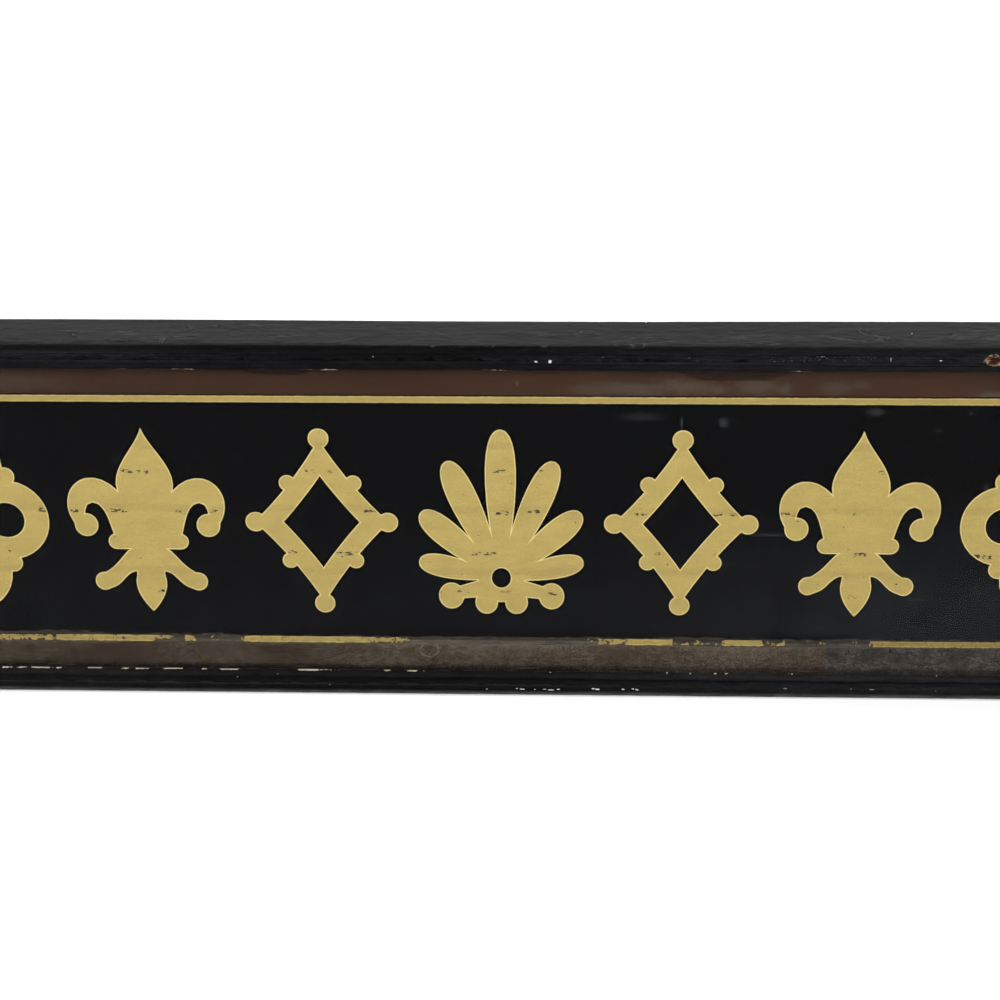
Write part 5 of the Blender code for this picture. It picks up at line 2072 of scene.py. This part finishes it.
def join_pieces(pieces, name):
    """Like pieces become one."""
    put_down()
    for piece in pieces:
        piece.select_set(True)
    bpy.context.view_layer.objects.active = pieces[0]
    bpy.ops.object.join()
    return name_piece(bpy.context.active_object, name)


def spread_copies(original, places, name):
    """Copies of a small piece at each place, turned at random, joined as one group."""
    turns = random.Random(5)
    copies = []
    for place in places:
        twin = bpy.data.objects.new(name, original.data.copy())
        bpy.context.scene.collection.objects.link(twin)
        face_rear = Matrix.Rotation(math.radians(-90), 4, "X")
        spin = Matrix.Rotation(turns.uniform(0, math.pi), 4, "Z")
        sink = Matrix.Translation(place - Vector((0, 0.0009, 0)))
        twin.data.transform(sink @ face_rear @ spin)
        copies.append(twin)
    bpy.data.objects.remove(original, do_unlink=True)
    hand_over(join_pieces(copies, name), "bare_wood")


class SIGN_OT_splashes(bpy.types.Operator):
    """Add dry splashes and specks on the rails, and drips of paint on the run moulding"""

    bl_idname = "sign.splashes"
    bl_label = "Splashes and Drips"

    def execute(self, context):
        values = context.scene.sign_frame
        white = [front_lump(*spot, seed) for seed, spot in enumerate(SPLASHES)]
        white += [top_lump(*spot, 70 + seed) for seed, spot in enumerate(TOP_SPECKS)]
        gather(white, "white_splashes", lime_splash("dry_white_splash", values.splash), "putty")
        grey = [front_lump(*spot, 40 + seed) for seed, spot in enumerate(GREY_SPECKS)]
        gather(grey, "grey_specks", lime_splash("grey_speck", values.speck), "putty")
        gather(hanging_drips(), "paint_drips", glossy_drip("glossy_drip", values), "black_paint")
        return {"FINISHED"}


def lump(middle, reach, seed):
    """A small flattened blob with an uneven outline."""
    put_down()
    bpy.ops.mesh.primitive_ico_sphere_add(subdivisions=2, radius=1)
    piece = name_piece(bpy.context.active_object, "lump")
    for vertex in piece.data.vertices:
        point = vertex.co * 1.1 + Vector((seed * 3.7, seed * 1.3, 0))
        swell = 0.82 + 0.3 * noise.noise(point) + 0.22 * noise.noise(point * 2.3)
        vertex.co = vertex.co * clamp(swell, 0.4, 1)
    piece.location = middle
    piece.scale = reach
    settle(piece)
    pick_up(piece)
    bpy.ops.object.shade_smooth()
    return piece


def front_lump(along, height, half_width, half_height, seed):
    """A blob on the front of a rail, just inside the true front."""
    low_rail = height < 0.015
    depth = 0.0004 if low_rail else 0.001
    front = FRONT_Y + (0.0001 if low_rail else 0.0006)
    return lump((along, front + depth, height), (half_width, depth, half_height), seed)


def top_lump(along, back, half_width, half_depth, seed):
    """A speck on the top board."""
    return lump((along, back, TOP_Z - 0.0007), (half_width, half_depth, 0.0006), seed)


def hanging_drips():
    """Small runs of paint under the nose, clustered along the run moulding."""
    place = random.Random(21)
    drips = []
    for start, end, count in DRIPS:
        for _ in range(count):
            along = place.uniform(start, end)
            height = place.uniform(0.4158, 0.4216)
            reach = (place.uniform(0.0008, 0.0024), 0.0011, place.uniform(0.0008, 0.002))
            drips.append(lump((along, FRONT_Y + 0.0016, height), reach, len(drips) + 90))
    return drips


def gather(pieces, name, material, slot):
    """Joins small like pieces into one and hands it over."""
    group = join_pieces(pieces, name)
    settle(group)
    coat(group, material)
    hand_over(group, slot)


class SIGN_PT_dressing(bpy.types.Panel):
    """Values and steps of the sign's finish"""

    bl_label = "Fascia Sign"
    bl_idname = "SIGN_PT_dressing"
    bl_space_type = "VIEW_3D"
    bl_region_type = "UI"
    bl_category = "Sign"

    def draw(self, context):
        for title, holder, _ in VALUE_GROUPS:
            box = self.layout.box()
            box.label(text=title)
            values = getattr(context.scene, holder)
            for name in values.bl_rna.properties.keys():
                if name not in ("rna_type", "name"):
                    box.prop(values, name)
        for step in STEPS:
            self.layout.operator(step.bl_idname)


VALUE_GROUPS = (
    ("Stage", "sign_stage", StageValues),
    ("Frame", "sign_frame", FrameValues),
    ("Glass", "sign_glass", GlassValues),
    ("Gilding", "sign_gilding", GildingValues),
    ("Grounds", "sign_ground", GroundValues),
    ("Back", "sign_back", BackValues),
)
STEPS = (
    SIGN_OT_stage,
    SIGN_OT_frame_boards,
    SIGN_OT_mouldings,
    SIGN_OT_putty,
    SIGN_OT_painted_grounds,
    SIGN_OT_gilt_lines,
    SIGN_OT_ornaments,
    SIGN_OT_glass_pane,
    SIGN_OT_backing,
    SIGN_OT_fastenings,
    SIGN_OT_splashes,
)


def register():
    """Registers the values, then the operators and the panel."""
    for _, holder, kind in VALUE_GROUPS:
        bpy.utils.register_class(kind)
        setattr(bpy.types.Scene, holder, bpy.props.PointerProperty(type=kind))
    for step in STEPS:
        bpy.utils.register_class(step)
    bpy.utils.register_class(SIGN_PT_dressing)


def unregister():
    """Takes away what register added, in reverse."""
    bpy.utils.unregister_class(SIGN_PT_dressing)
    for step in reversed(STEPS):
        bpy.utils.unregister_class(step)
    for _, holder, kind in reversed(VALUE_GROUPS):
        delattr(bpy.types.Scene, holder)
        bpy.utils.unregister_class(kind)


def main():
    """Dresses the whole sign, one step after another."""
    register()
    bpy.ops.sign.stage()
    bpy.ops.sign.frame_boards()
    bpy.ops.sign.mouldings()
    bpy.ops.sign.putty()
    bpy.ops.sign.painted_grounds()
    bpy.ops.sign.gilt_lines()
    bpy.ops.sign.ornaments()
    bpy.ops.sign.glass_pane()
    bpy.ops.sign.backing()
    bpy.ops.sign.fastenings()
    bpy.ops.sign.splashes()


if __name__ == "__main__":
    main()
